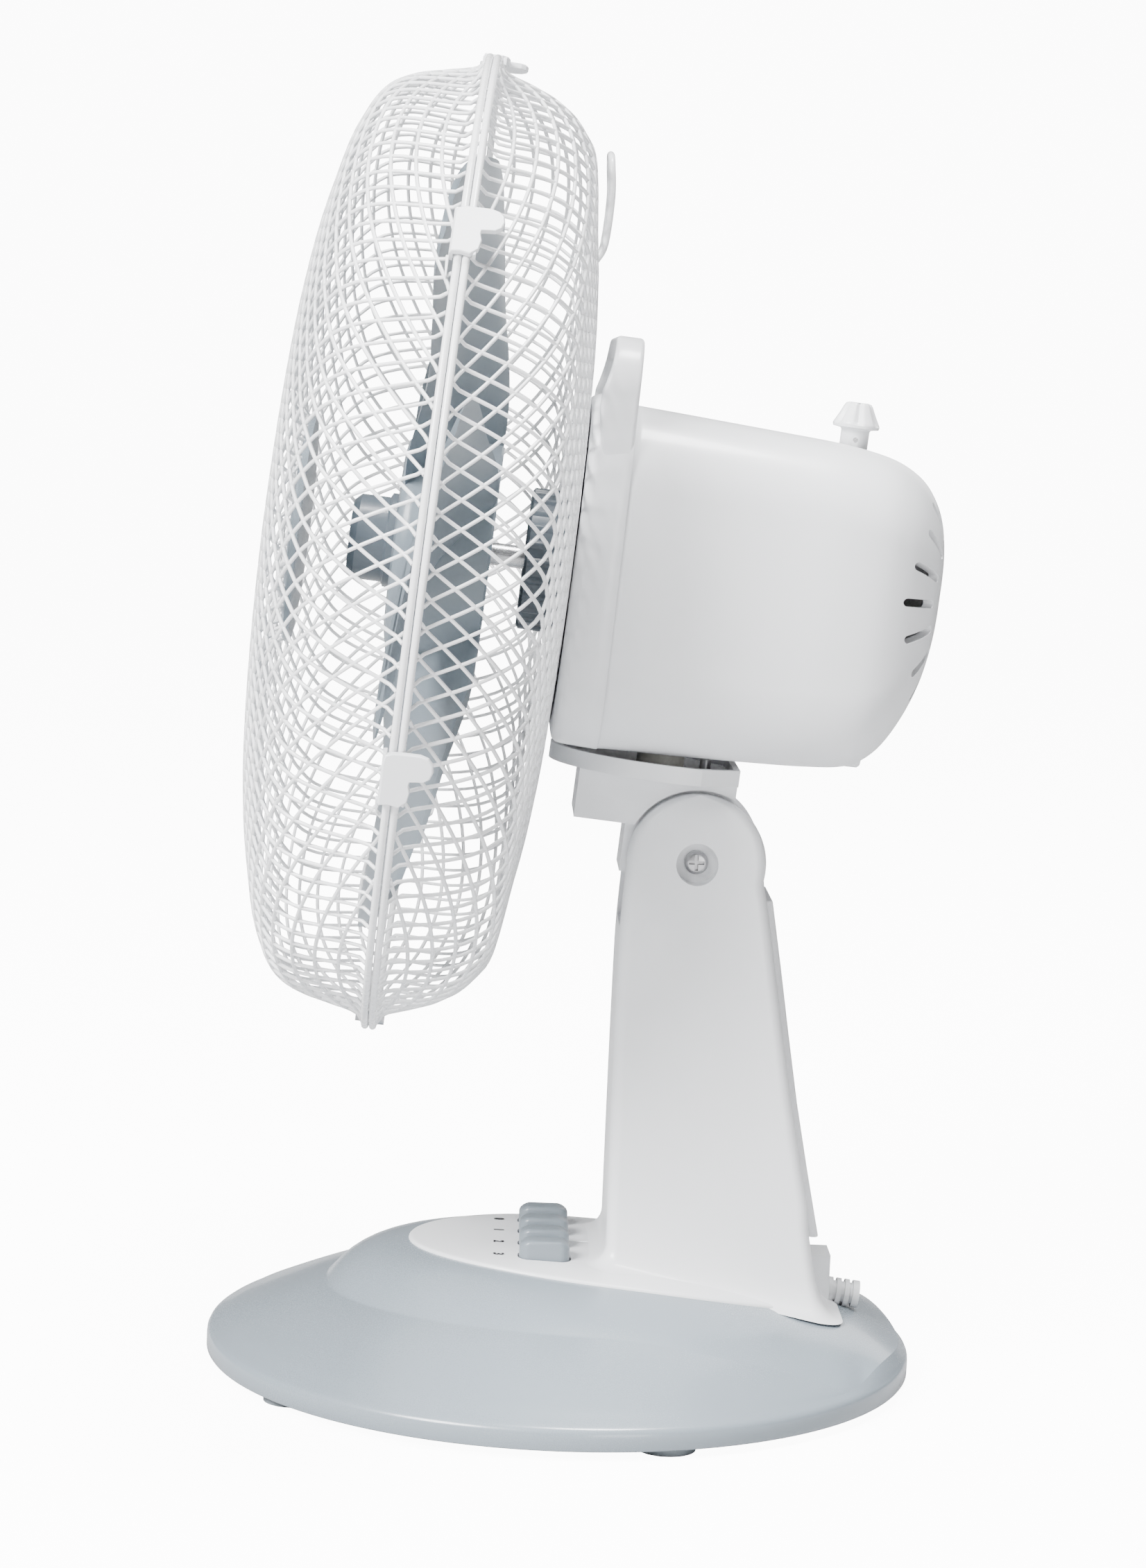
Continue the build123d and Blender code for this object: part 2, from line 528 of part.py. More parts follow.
def make_fan():
    sections = [
        blade_section(HUB_R - 8.0, 34.0, -40.0, 3.0, 0.0, -4.0),
        blade_section(84.0, 86.0, -14.5, 2.6, 0.0, -2.5),
        blade_section(BLADE_TIP, 108.0, -7.5, 2.2, 0.0, 3.0),
    ]
    blade = loft(sections, ruled=True)
    hub = disc(HUB_R, *HUB_F) - disc(HUB_HOLLOW_R, HUB_F[0], HUB_F[1] - 4.0)
    hub += disc(9.0, HUB_F[0], HUB_F[1])
    fan = hub
    for angle in polar_places(BLADE_COUNT, BLADE_FIRST):
        fan += Rot(0, 0, angle) * blade
    fan -= disc(SHAFT_R, -60.0, 60.0)
    pin = Pos(0, 0, HUB_F[0] + 3.5) * Rot(90, 0, 0) * Cylinder(1.5, 19.0)
    fan -= pin
    parts["fan_blade"] = in_head(fan)
    spinner = disc(SPINNER_R, *SPINNER_F)
    spinner = chamfer(spinner.edges().group_by(Axis.Z)[-1], 2.4)
    spinner -= disc(SHAFT_R, SPINNER_F[0] - 1.0, SPINNER_F[1] - 5.0)
    parts["spinner_nut"] = in_head(spinner)
    shaft = disc(SHAFT_R, -146.0, SPINNER_F[1] - 6.0)
    parts["motor_shaft"] = in_head(shaft - pin)
    parts["drive_pin"] = in_head(pin)
    parts["rotor_core"] = in_head(disc(ROTOR_R, STATOR_F[0] - 2.0, STATOR_F[1] + 2.0, hole=SHAFT_R))


# ---------------------------------------------------------------- guards
def rim_ring(forward):
    return Pos(0, 0, forward) * Torus(RING_R, RING_WIRE)


def guard_wires(curve, radii):
    """Bent wires from the middle plate to the rim, one every few degrees."""
    path = FilletPolyline(*[(r, 0, f) for r, f in curve], radius=radii)
    start = path @ 0
    section = Plane(origin=start, z_dir=path % 0) * Circle(WIRE_R)
    wire = sweep(section, path)
    return [Rot(0, 0, angle) * wire for angle in polar_places(WIRES, 6.0)]


def make_guards():
    front = guard_wires(FRONT_CURVE, [8.0, 60.0, 28.0, 9.0, 9.0])
    rear = guard_wires(REAR_CURVE, [60.0, 18.0, 9.0, 9.0])
    parts["front_guard_wires"] = in_head(Compound(children=front))
    parts["rear_guard_wires"] = in_head(Compound(children=rear))
    parts["front_guard_rim"] = in_head(rim_ring(RING_F))
    parts["rear_guard_rim"] = in_head(rim_ring(-RING_F))
    parts["front_badge"] = in_head(disc(BADGE_R, *BADGE_F))
    parts["rear_guard_plate"] = in_head(disc(REAR_PLATE_R, *REAR_PLATE_F, hole=NECK_R + 0.2))
    nut = disc(LOCK_NUT_R - 1.2, *LOCK_NUT_F, hole=NECK_R)
    for angle in polar_places(24):
        nut += Rot(0, 0, angle) * Pos(LOCK_NUT_R - 1.4, 0, sum(LOCK_NUT_F) / 2) * Cylinder(1.4, LOCK_NUT_F[1] - LOCK_NUT_F[0])
    parts["guard_lock_nut"] = in_head(nut)


def on_rim(shape, angle):
    """Places a shape made at the top of the rim at an angle from the top, towards +X."""
    return in_head(Rot(0, 0, -angle) * shape)


def clip_solid():
    half = CLIP_WIDTH / 2
    roof = block((-half, half), (172.0, 174.0), (-4.4, 4.6))
    lip = block((-half, half), (169.2, 174.0), (3.1, 4.6))
    tab = Pos(0, 173.0, -4.0) * Rot(-14, 0, 0) * block((-half + 2, half - 2), (-1.0, 1.0), (-7.4, 0.4))
    curl = rod_x(CLIP_CURL[1], (-half, half), RING_R, -RING_F) & block((-half, half), (170.6, 174.0), (-4.4, 0.0))
    return roof + lip + tab + curl - rod_x(CLIP_CURL[0], (-half - 1, half + 1), RING_R, -RING_F)


def make_clips():
    for index, angle in enumerate(CLIP_ANGLES, start=1):
        parts["guard_clip_" + str(index)] = on_rim(clip_solid(), angle)
    front_tab = block((-5.0, 5.0), (165.0, 169.4), (1.6, 3.0))
    rear_tab = block((-5.0, 5.0), (165.0, 169.4), (-3.0, -1.6))
    bore = Pos(0, 166.6, 0) * Cylinder(1.5, 20.0)
    parts["lock_tabs"] = on_rim(Compound(children=[front_tab - bore, rear_tab - bore]), LOCK_ANGLE)
    screw = Pos(0, 166.6, 0) * (disc(1.5, -5.0, 3.0) + disc(2.9, -5.0, -3.0))
    parts["lock_screw"] = on_rim(screw, LOCK_ANGLE)
    nut = Pos(0, 166.6, 3.0) * extrude(RegularPolygon(2.8, 6), amount=2.2)
    parts["lock_nut"] = on_rim(nut, LOCK_ANGLE)


make_base()
make_panel_and_column()
make_keys()
make_cord_gland()
make_tilt_bracket()
make_tilt_bolt()
make_motor_covers()
make_motor()
make_oscillator()
make_knob()
make_fan()
make_guards()
make_clips()

os.makedirs("parts", exist_ok=True)
for name, shape in parts.items():
    export_step(shape, "parts/" + name + ".step")
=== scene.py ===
"""A tilting desk fan on a round base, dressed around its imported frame.

Sizes are millimetres in the part's frame: +Z up, and the fan faces -Y. Head pieces are drawn
in the head's own frame: x across, then up, then forward along the fan's axis.
"""
import math

import bmesh
import bpy
from mathutils import Matrix, Vector


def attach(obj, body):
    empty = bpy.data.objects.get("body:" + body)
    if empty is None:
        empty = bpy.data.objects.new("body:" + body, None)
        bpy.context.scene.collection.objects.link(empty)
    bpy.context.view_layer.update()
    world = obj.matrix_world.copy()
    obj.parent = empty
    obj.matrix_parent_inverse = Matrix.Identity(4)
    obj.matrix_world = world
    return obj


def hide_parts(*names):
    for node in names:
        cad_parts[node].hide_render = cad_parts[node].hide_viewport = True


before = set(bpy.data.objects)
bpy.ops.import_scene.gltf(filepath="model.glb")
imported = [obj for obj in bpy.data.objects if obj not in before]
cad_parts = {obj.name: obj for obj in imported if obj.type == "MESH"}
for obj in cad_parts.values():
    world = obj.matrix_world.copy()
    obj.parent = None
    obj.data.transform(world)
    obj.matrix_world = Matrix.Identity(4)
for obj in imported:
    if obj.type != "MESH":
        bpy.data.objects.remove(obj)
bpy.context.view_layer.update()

MM = 0.001
TURN = 2 * math.pi

# Places
TILT = math.radians(5.16)
HEAD_Y, HEAD_Z = -56.1, 291.1
PIVOT_Y, PIVOT_Z = 41.2, 184.8

# Base cover: height against radius, and the crown of its raised tongue against Y
RIM_IN = 122.6
DOME_LINE = ((0, 33.4), (50, 32.8), (70, 31.0), (84, 27.5), (98, 22.6), (118.6, 13.8), (122.6, 11.5),
             (127, 7.5))
CROWN_LINE = ((-126, 43.4), (-55, 43.4), (-10, 42.8), (20, 41.2), (46, 37.6), (70, 32.4), (83, 28.4),
              (97, 25.2), (110, 20.4), (127, 11.0))
TONGUE_Y = 10.0
TONGUE_SEMI = (79.0, 94.0)
TONGUE_SIDE = ((10, 79), (48, 79), (100, 73), (127, 66))
FALL_SIDE, FALL_FRONT = 3.6, 8.0
RIM_LINE = ((124.3, 10.8), (125.4, 10.0), (125.9, 8.9), (126, 7.6), (126, 3.4), (125.7, 3.0))
COVER_WALL = 2.0

# Control panel and keys
PANEL_Y = 22.0
PANEL_SEMI = (50.0, 77.0)
PANEL_PROUD, PANEL_WALL = 1.0, 2.4
KEY_X = (-26.625, -8.875, 8.875, 26.625)
KEY_Y, KEY_TOP, KEY_LOW = -6.5, 50.7, 33.7
KEY_HALF = (4.8, 8.9)
KEY_CORNER = 3.6
KEY_GAP = 0.5
KEY_CROWN = 21.2
KEY_EDGE = ((0, 3.2), (0, 1.5), (0.12, 0.95), (0.45, 0.45), (1.0, 0.14), (1.8, 0.03), (2.8, 0), (3.8, 0),
            (4.5, 0))
DIGIT_Y, DIGIT_SIZE = -24.4, 5.2

# Column
COL_FRONT = 15.0
COL_HALF = ((16.0, 33.0), (210.0, 24.0))
COL_REAR = ((20, 95.0), (30, 93.2), (42.8, 90.6), (54, 88.0), (99.6, 78.6), (145, 71.0), (172, 66.4),
            (184.8, 63.4))
COL_CORNER = 4.4
EAR_R = 24.4
FOOT_FLARE = 7.5
FORK_HALF, FORK_Z = 15.4, 160.6
RECESS_R, RECESS_X = 7.4, 17.6
SCREW_LINE = ((-22.0, 2.6), (17.7, 2.6), (17.8, 4.2), (19.0, 4.2), (19.7, 3.8), (20.1, 2.9), (20.2, 0.4))
CROSS_X, CROSS_CUT = (18.6, 24.0), (2.7, 0.55)
STRIP_Z = (52.2, 172.4)
STRIP_HALF, STRIP_PROUD = 19.0, 2.4

# Motor housing, as forward, top, bottom, half width and corner radius
SHELL = ((-64.6, 58.3, -60.7, 56.0, 28.0), (-82.0, 57.5, -60.2, 55.6, 28.0),
         (-100.0, 56.6, -59.7, 55.0, 28.0), (-120.0, 55.6, -59.0, 53.8, 28.0),
         (-137.0, 54.6, -58.2, 52.0, 28.0), (-152.0, 52.4, -56.6, 48.5, 28.0),
         (-161.5, 49.2, -51.6, 43.5, 27.5), (-169.0, 44.0, -41.5, 36.5, 25.0),
         (-175.0, 35.5, -28.0, 27.5, 21.0), (-178.2, 25.0, -14.0, 16.5, 14.0),
         (-179.0, 13.5, -1.0, 6.0, 5.4))
SHELL_WALL = 2.4
SLAB = ((-49.2, 3.4), (-49.7, 1.9), (-51.0, 0.8), (-53.0, 0.3), (-60.0, 0.0), (-65.6, -0.2), (-65.8, 0.0))
SLAB_HALF, SLAB_TOP, SLAB_BOTTOM, SLAB_CORNER = 56.7, 61.0, -60.4, 24.0
SLAB_DRAFT = 0.0156
HANDLE_HALF, HANDLE_UP, HANDLE_BEND, HANDLE_LOW = 51.7, 76.5, 14.0, 30.0
HANDLE_BAR = 4.5
HANDLE_FRONT = ((30, -54.5), (44, -52.8), (56, -51.0), (62, -51.2), (66, -52.4), (72, -53.6), (82, -54.0))
HANDLE_REAR = -65.6
VENT_COUNT, VENT_R, VENT_HALF, VENT_WIDE = 20, 35.0, 7.5, 2.9
VENT_UP = 4.0
POST_HOLE = ((-13, -124), (13, -124), (13, -76), (-13, -76))
CHIN_LINE = ((0.01, -160.0), (1.9, -160.0), (2.4, -160.3), (4.2, -160.3), (5.0, -159.4), (5.2, -148.0),
             (0.01, -148.0))
CHIN_UP = -53.4
KNOB_F = -142.4
KNOB_LINE = ((0.01, 69.3), (3.4, 69.5), (4.4, 69.2), (5.0, 68.4), (6.4, 65.4), (7.7, 62.9), (8.1, 62.2),
             (8.3, 61.5), (8.0, 60.6), (5.4, 60.2), (5.0, 59.6), (5.0, 38.0), (0.01, 38.0))
KNOB_HOLE_F, KNOB_HOLE_R = -144.4, 8.0

# Fan
HUB_LINE = ((9, 13), (32, 13), (35.8, 12.2), (37.6, 10.2), (38, 7.5), (38, -20.2), (37.4, -21), (35.6, -21),
            (35, -20.2), (35, 6), (33, 9), (9, 9.6))
BOSS_LINE = ((4.1, 12.6), (9.4, 12.6), (9.4, -20.4), (8.8, -21), (4.1, -21))
BLADE_HALF = ((30, 0.6), (50, 0.58), (84, 0.53), (112, 0.5), (137, 0.47))
BLADE_PITCH = ((30, 40), (50, 29), (84, 14.5), (110, 10), (137, 7.5))
BLADE_LEAD = ((30, -4), (84, -2.5), (137, 3))
BLADE_SWEEP = 0.0003
BLADE_ROOT, BLADE_END = 34.0, 136.5
BLADE_CAMBER, BLADE_THICK = 0.035, 2.0
BLADE_COUNT, BLADE_FIRST = 5, -3.0
SPINNER_LINE = ((0.01, 24.4), (7.6, 24.4), (8.4, 28.2), (9.2, 28.9), (12.6, 28.9), (15, 26.4), (15, 16.4),
                (16.6, 15.6), (16.6, 13.4), (4.2, 13.4), (0.01, 13.4))

# Guards: forward and radius of the wires from the rim to the middle
RING_R, RING_F, RING_WIRE = 170.2, 1.35, 1.25
FRONT_LINE = ((2.4, 168.9), (4.6, 166.2), (10, 164.6), (19.4, 162.6), (26.6, 160.6), (32.6, 157.4),
              (36.6, 153.4), (39.4, 148.6), (43.6, 139), (47.0, 126), (50.2, 111.8), (52.6, 96),
              (54.2, 80), (55.4, 62), (55.4, 52), (53.6, 45.4), (50.4, 41.4), (47.8, 39.4))
REAR_LINE = ((-2.4, 168.9), (-4.4, 165.8), (-8, 164.2), (-17.5, 160.9), (-24, 157.8), (-30, 153.6),
             (-34.4, 148.6), (-38.4, 142.4), (-40.6, 132), (-42.6, 117), (-44.8, 102), (-46.2, 88),
             (-47.2, 74), (-47.6, 57))
NET_ANGLE = math.radians(34.0)
NET_PITCH = 8.3
NET_STEP = 4.0
WIRE_R = 0.68
BADGE_LINE = ((0.01, 49.2), (30, 49.0), (36.4, 48.4), (38.4, 47.2), (39.6, 47.9), (40.2, 47.2),
              (39.6, 45.4), (36, 45.0), (0.01, 45.0))
PLATE_LINE = ((17.4, -46.7), (50, -46.7), (57.2, -46.4), (58, -47.2), (57.4, -48.6), (50, -48.9),
              (17.4, -48.9))
CLIP_ANGLES = (37.5, -22.5, -142.5, -202.5, -262.5)
LOCK_NUT_LINE = ((17.1, -32.8), (22.6, -32.7), (24.0, -33.6), (24.2, -45.4), (23.4, -46.4), (17.1, -46.5))
LOCK_NUT_RIBS = 24
HOOK = ((-15, 106, -44.0), (-15, 112, -46.2), (-14, 128, -46.4), (-12, 139, -45.0), (-5, 142.6, -44.4),
        (5, 142.6, -44.4), (12, 139, -45.0), (14, 128, -46.4), (15, 112, -46.2), (15, 106, -44.0))

WORLD = Matrix.Scale(MM, 4)
HEAD = WORLD @ Matrix((
    (1, 0, 0, 0),
    (0, math.sin(TILT), -math.cos(TILT), HEAD_Y),
    (0, math.cos(TILT), math.sin(TILT), HEAD_Z),
    (0, 0, 0, 1),
))


# ---------------------------------------------------------------- shader nodes
class Link:
    """A shader socket that adds, subtracts and multiplies like a number."""

    def __init__(self, finish, socket):
        self.finish = finish
        self.socket = socket

    def maths(self, operation, first, second):
        return self.finish.node("ShaderNodeMath", {"operation": operation}, {0: first, 1: second})

    def __add__(self, other):
        return self.maths("ADD", self, other)

    def __mul__(self, other):
        return self.maths("MULTIPLY", self, other)

    def __sub__(self, other):
        return self.maths("SUBTRACT", self, other)

    def __rsub__(self, other):
        return self.maths("SUBTRACT", other, self)

    __radd__ = __add__
    __rmul__ = __mul__


class Finish:
    """One material and the nodes that make it."""

    def __init__(self, name):
        self.material = bpy.data.materials.new(name)
        self.material.use_nodes = True
        self.tree = self.material.node_tree
        self.surface = self.tree.nodes["Principled BSDF"]

    def feed(self, socket, value):
        if isinstance(value, Link):
            self.tree.links.new(value.socket, socket)
        else:
            socket.default_value = value

    def node(self, kind, settings=None, values=None, out=0):
        made = self.tree.nodes.new(kind)
        settings = dict(settings or {})
        stops = settings.pop("stops", ())
        for key, value in settings.items():
            setattr(made, key, value)
        for index, (position, colour) in enumerate(stops):
            ramp = made.color_ramp.elements
            stop = ramp[index] if index < 2 else ramp.new(position)
            stop.position = position
            stop.color = colour
        for key, value in (values or {}).items():
            self.feed(made.inputs[key], value)
        return Link(self, made.outputs[out])

    def noise(self, scale, detail=2.0, stretch=(1, 1, 1)):
        """Noise on the object's own metres, with an optional stretch."""
        place = self.node("ShaderNodeTexCoord", out="Object")
        place = self.node("ShaderNodeMapping", {}, {"Vector": place, "Scale": stretch})
        return self.node("ShaderNodeTexNoise", {}, {"Vector": place, "Scale": scale, "Detail": detail})

    def blend(self, share, first, second):
        values = {"Factor": share, 6: first, 7: second}
        return self.node("ShaderNodeMix", {"data_type": "RGBA"}, values, out=2)

    def relief(self, height, depth, strength=1.0):
        values = {"Height": height, "Distance": depth, "Strength": strength}
        return self.node("ShaderNodeBump", {}, values)

    def wear(self, **values):
        """Sets the surface's sockets; an underscore in a name stands for a space."""
        for key, value in values.items():
            self.feed(self.surface.inputs[key.replace("_", " ")], value)
        return self.material


def tint(red, green, blue):
    return (red, green, blue, 1.0)


def shaded(colour, share):
    return tint(*[channel * share for channel in colour[:3]])


def moulded(name, colour, gloss, coat=0.0, drift=0.95, grain=2200.0, depth=0.00002):
    """Moulded plastic: a slow drift of tone, a fine tool grain and a gloss that wanders."""
    finish = Finish(name)
    slow = finish.noise(14.0, 3.0)
    fine = finish.noise(grain)
    return finish.wear(
        Base_Color=finish.blend(slow, shaded(colour, drift), colour),
        Roughness=slow * 0.08 + fine * 0.05 + gloss,
        Normal=finish.relief(fine + slow * 0.5, depth, 0.6),
        Coat_Weight=coat,
        Coat_Roughness=0.12,
        IOR=1.48,
    )


def coated_wire(name, colour):
    """White dip coating over wire, a little lumpy and thicker where it has run."""
    finish = Finish(name)
    runs = finish.noise(260.0, 3.0)
    slow = finish.noise(30.0)
    return finish.wear(
        Base_Color=finish.blend(slow, shaded(colour, 0.95), colour),
        Roughness=runs * 0.12 + 0.22,
        Normal=finish.relief(runs, 0.00012, 0.5),
        Coat_Weight=0.25,
        Coat_Roughness=0.1,
        IOR=1.5,
    )


def metal(name, colour, gloss, stretch=(1, 1, 1), scale=900.0, spots=0.8):
    """Bare or plated metal: drawn lines or cast grain, with a patchy dullness."""
    finish = Finish(name)
    lines = finish.noise(scale, 4.0, stretch)
    patches = finish.noise(60.0, 3.0)
    return finish.wear(
        Base_Color=finish.blend(patches, shaded(colour, spots), colour),
        Metallic=1.0,
        Roughness=lines * 0.16 + patches * 0.1 + gloss,
        Normal=finish.relief(lines, 0.00004, 0.6),
    )


def rubber(name, colour):
    finish = Finish(name)
    pores = finish.noise(1500.0, 5.0)
    return finish.wear(
        Base_Color=finish.blend(pores, shaded(colour, 0.8), colour),
        Roughness=pores * 0.15 + 0.62,
        Normal=finish.relief(pores, 0.00006),
    )


def varnished_copper(name, colour):
    """Close-wound wire under amber varnish."""
    finish = Finish(name)
    place = finish.node("ShaderNodeTexCoord", out="Object")
    values = {"Vector": place, "Scale": 420.0, "Distortion": 1.5}
    turns = finish.node("ShaderNodeTexWave", {"wave_type": "BANDS"}, values, out=1)
    return finish.wear(
        Base_Color=finish.blend(turns, shaded(colour, 0.45), colour),
        Metallic=0.85,
        Roughness=0.5 - turns * 0.2,
        Normal=finish.relief(turns, 0.0002),
    )


WHITE = tint(0.80, 0.81, 0.825)
FINISHES = {
    "white_plastic": moulded("white_plastic", WHITE, 0.27, 0.15),
    "white_wire": coated_wire("white_wire", tint(0.84, 0.845, 0.855)),
    "base_grey": moulded("base_grey", tint(0.235, 0.275, 0.31), 0.2, 0.3, 0.93),
    "key_grey": moulded("key_grey", tint(0.19, 0.222, 0.25), 0.3, 0.1, 0.9),
    "blade_grey": moulded("blade_grey", tint(0.20, 0.24, 0.275), 0.25, 0.2, 0.92),
    "nut_grey": moulded("nut_grey", tint(0.095, 0.118, 0.14), 0.3, 0.1, 0.88),
    "relief_plastic": moulded("relief_plastic", tint(0.62, 0.63, 0.64), 0.45, 0.0, 0.92),
    "bush_plastic": moulded("bush_plastic", tint(0.7, 0.69, 0.64), 0.4),
    "switch_plastic": moulded("switch_plastic", tint(0.03, 0.03, 0.033), 0.4, 0.0, 0.7),
    "capacitor_plastic": moulded("capacitor_plastic", tint(0.02, 0.02, 0.023), 0.35, 0.0, 0.7),
    "digit_ink": moulded("digit_ink", tint(0.012, 0.012, 0.014), 0.5, 0.0, 0.6),
    "foot_rubber": rubber("foot_rubber", tint(0.22, 0.25, 0.275)),
    "screw_steel": metal("screw_steel", tint(0.55, 0.55, 0.56), 0.22, (1, 1, 1), 1400.0),
    "shaft_steel": metal("shaft_steel", tint(0.6, 0.6, 0.61), 0.14, (8, 0.4, 8)),
    "plate_steel": metal("plate_steel", tint(0.5, 0.51, 0.52), 0.3, (1, 1, 1), 90.0, 0.6),
    "core_steel": metal("core_steel", tint(0.2, 0.2, 0.21), 0.35, (0.3, 6, 0.3)),
    "ballast_iron": metal("ballast_iron", tint(0.1, 0.1, 0.105), 0.55, (1, 1, 1), 500.0),
    "shield_alloy": metal("shield_alloy", tint(0.6, 0.6, 0.61), 0.35, (1, 1, 1), 350.0),
    "bearing_bronze": metal("bearing_bronze", tint(0.45, 0.3, 0.13), 0.35, (1, 1, 1), 1200.0),
    "copper_wire": varnished_copper("copper_wire", tint(0.55, 0.24, 0.09)),
}


# ---------------------------------------------------------------- drawing
def along(table, value):
    """A smooth curve through (position, height) pairs, read at a position."""
    if value <= table[0][0]:
        return table[0][1]
    if value >= table[-1][0]:
        return table[-1][1]
    last = len(table) - 1
    index = next(i for i in range(last) if table[i + 1][0] >= value)
    slopes = []
    for i in (index, index + 1):
        before, after = table[max(i - 1, 0)], table[min(i + 1, last)]
        slopes.append((after[1] - before[1]) / (after[0] - before[0]))
    (x0, y0), (x1, y1) = table[index], table[index + 1]
    width = x1 - x0
    t = (value - x0) / width
    first = (2 * t ** 3 - 3 * t ** 2 + 1) * y0 + (t ** 3 - 2 * t ** 2 + t) * width * slopes[0]
    return first + (3 * t ** 2 - 2 * t ** 3) * y1 + (t ** 3 - t ** 2) * width * slopes[1]


def smooth_row(rows, steps):
    """Rows of numbers with a Catmull-Rom curve drawn through them."""
    made = []
    for i in range(len(rows) - 1):
        p0, p1, p2, p3 = rows[max(i - 1, 0)], rows[i], rows[i + 1], rows[min(i + 2, len(rows) - 1)]
        for step in range(steps):
            t = step / steps
            point = []
            for a, b, c, d in zip(p0, p1, p2, p3):
                cubic = (3 * b - a - 3 * c + d) * t ** 3
                point.append(0.5 * (2 * b + (c - a) * t + (2 * a - 5 * b + 4 * c - d) * t ** 2 + cubic))
            made.append(tuple(point))
    made.append(tuple(rows[-1]))
    return made


def spread(low, high, count):
    return [low + (high - low) * i / (count - 1) for i in range(count)]


def round_box(half_x, half_y, corner, steps=8):
    """A rectangle with round corners, as (x, y) points."""
    corner = max(min(corner, half_x - 0.01, half_y - 0.01), 0.01)
    points = []
    for quarter, (sx, sy) in enumerate(((1, 1), (-1, 1), (-1, -1), (1, -1))):
        for angle in spread(quarter * TURN / 4, (quarter + 1) * TURN / 4, steps + 1):
            x = sx * (half_x - corner) + corner * math.cos(angle)
            points.append((x, sy * (half_y - corner) + corner * math.sin(angle)))
    return points


def skin(rows, around=True, ends=True, loop=False):
    """Points and faces of a skin laid over rows that have the same number of points."""
    count = len(rows[0])
    points = [point for row in rows for point in row]
    faces = []
    for i in range(len(rows) if loop else len(rows) - 1):
        low, high = i * count, (i + 1) % len(rows) * count
        for j in range(count if around else count - 1):
            k = (j + 1) % count
            faces.append((low + j, low + k, high + k, high + j))
    if ends and not loop:
        faces.append(tuple(range(count)))
        faces.append(tuple(range(len(points) - count, len(points))))
    return points, faces


def turned(line, steps=96, loop=True, ribs=None):
    """A skin turned about the fan's axis from (radius, forward) pairs."""
    rows = []
    for radius, forward in line:
        row = []
        for step in range(steps):
            angle = TURN * step / steps
            grown = radius + (ribs(radius, forward, angle) if ribs else 0.0)
            row.append((grown * math.cos(angle), grown * math.sin(angle), forward))
        rows.append(row)
    return skin(rows, loop=loop)


def mesh_object(name, skins, place):
    points, faces = [], []
    for skin_points, skin_faces in skins:
        start = len(points)
        points += [place @ Vector(point) for point in skin_points]
        faces += [tuple(start + index for index in face) for face in skin_faces]
    mesh = bpy.data.meshes.new(name)
    mesh.from_pydata(points, [], faces)
    work = bmesh.new()
    work.from_mesh(mesh)
    bmesh.ops.recalc_face_normals(work, faces=work.faces)
    work.to_mesh(mesh)
    work.free()
    made = bpy.data.objects.new(name, mesh)
    bpy.context.scene.collection.objects.link(made)
    return made


def settle(piece):
    """Keeps the piece's mesh as its modifiers have made it."""
    graph = bpy.context.evaluated_depsgraph_get()
    mesh = bpy.data.meshes.new_from_object(piece.evaluated_get(graph))
    piece.modifiers.clear()
    piece.data = mesh


def carve(piece, skins, place):
    """Cuts closed skins out of a piece."""
    for cut in skins:
        cutter = mesh_object("cutter", [cut], place)
        taken = piece.modifiers.new("carve", "BOOLEAN")
        taken.operation = "DIFFERENCE"
        taken.solver = "EXACT"
        taken.object = cutter
        settle(piece)
        bpy.data.objects.remove(cutter)


def round_edges(piece, width, angle=38.0, segments=2):
    rounded = piece.modifiers.new("round_edges", "BEVEL")
    rounded.width = width * MM
    rounded.segments = segments
    rounded.limit_method = "ANGLE"
    rounded.angle_limit = math.radians(angle)
    rounded.harden_normals = True


def thicken(piece, wall):
    solid = piece.modifiers.new("wall", "SOLIDIFY")
    solid.thickness = wall * MM
    solid.offset = -1.0
    solid.use_even_offset = True


def dress(piece, slot, body, replaces=(), sharp=40.0):
    """Gives a piece its finish and its body, and hides the CAD nodes it stands for."""
    piece.data.materials.clear()
    piece.data.materials.append(FINISHES[slot])
    if piece.type == "MESH":
        piece.data.shade_smooth()
        if sharp:
            piece.data.set_sharp_from_angle(angle=math.radians(sharp))
    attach(piece, body)
    if replaces:
        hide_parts(*replaces)
    return piece


def wire_piece(name, runs, radius, place, closed=False, sides=1):
    """Round wire along runs of points, as one curve."""
    curve = bpy.data.curves.new(name, "CURVE")
    curve.dimensions = "3D"
    curve.bevel_depth = radius * MM
    curve.bevel_resolution = sides
    curve.use_fill_caps = True
    for run in runs:
        spline = curve.splines.new("POLY")
        spline.points.add(len(run) - 1)
        for point, target in zip(spline.points, run):
            point.co = (*(place @ Vector(target)), 1.0)
        spline.use_cyclic_u = closed
        spline.use_smooth = True
    made = bpy.data.objects.new(name, curve)
    bpy.context.scene.collection.objects.link(made)
    return made


# ---------------------------------------------------------------- base
def tongue_share(x, y):
    """How far out a point is on the raised tongue, how much it faces front, and where that edge is."""
    if y < TONGUE_Y:
        across, behind = x / TONGUE_SEMI[0], (y - TONGUE_Y) / TONGUE_SEMI[1]
        share = max(math.hypot(across, behind), 1e-6)
        edge = (x / share, TONGUE_Y + (y - TONGUE_Y) / share)
        return share, (behind / share) ** 2, edge
    half = along(TONGUE_SIDE, y)
    return abs(x) / half, 0.0, (half, y)


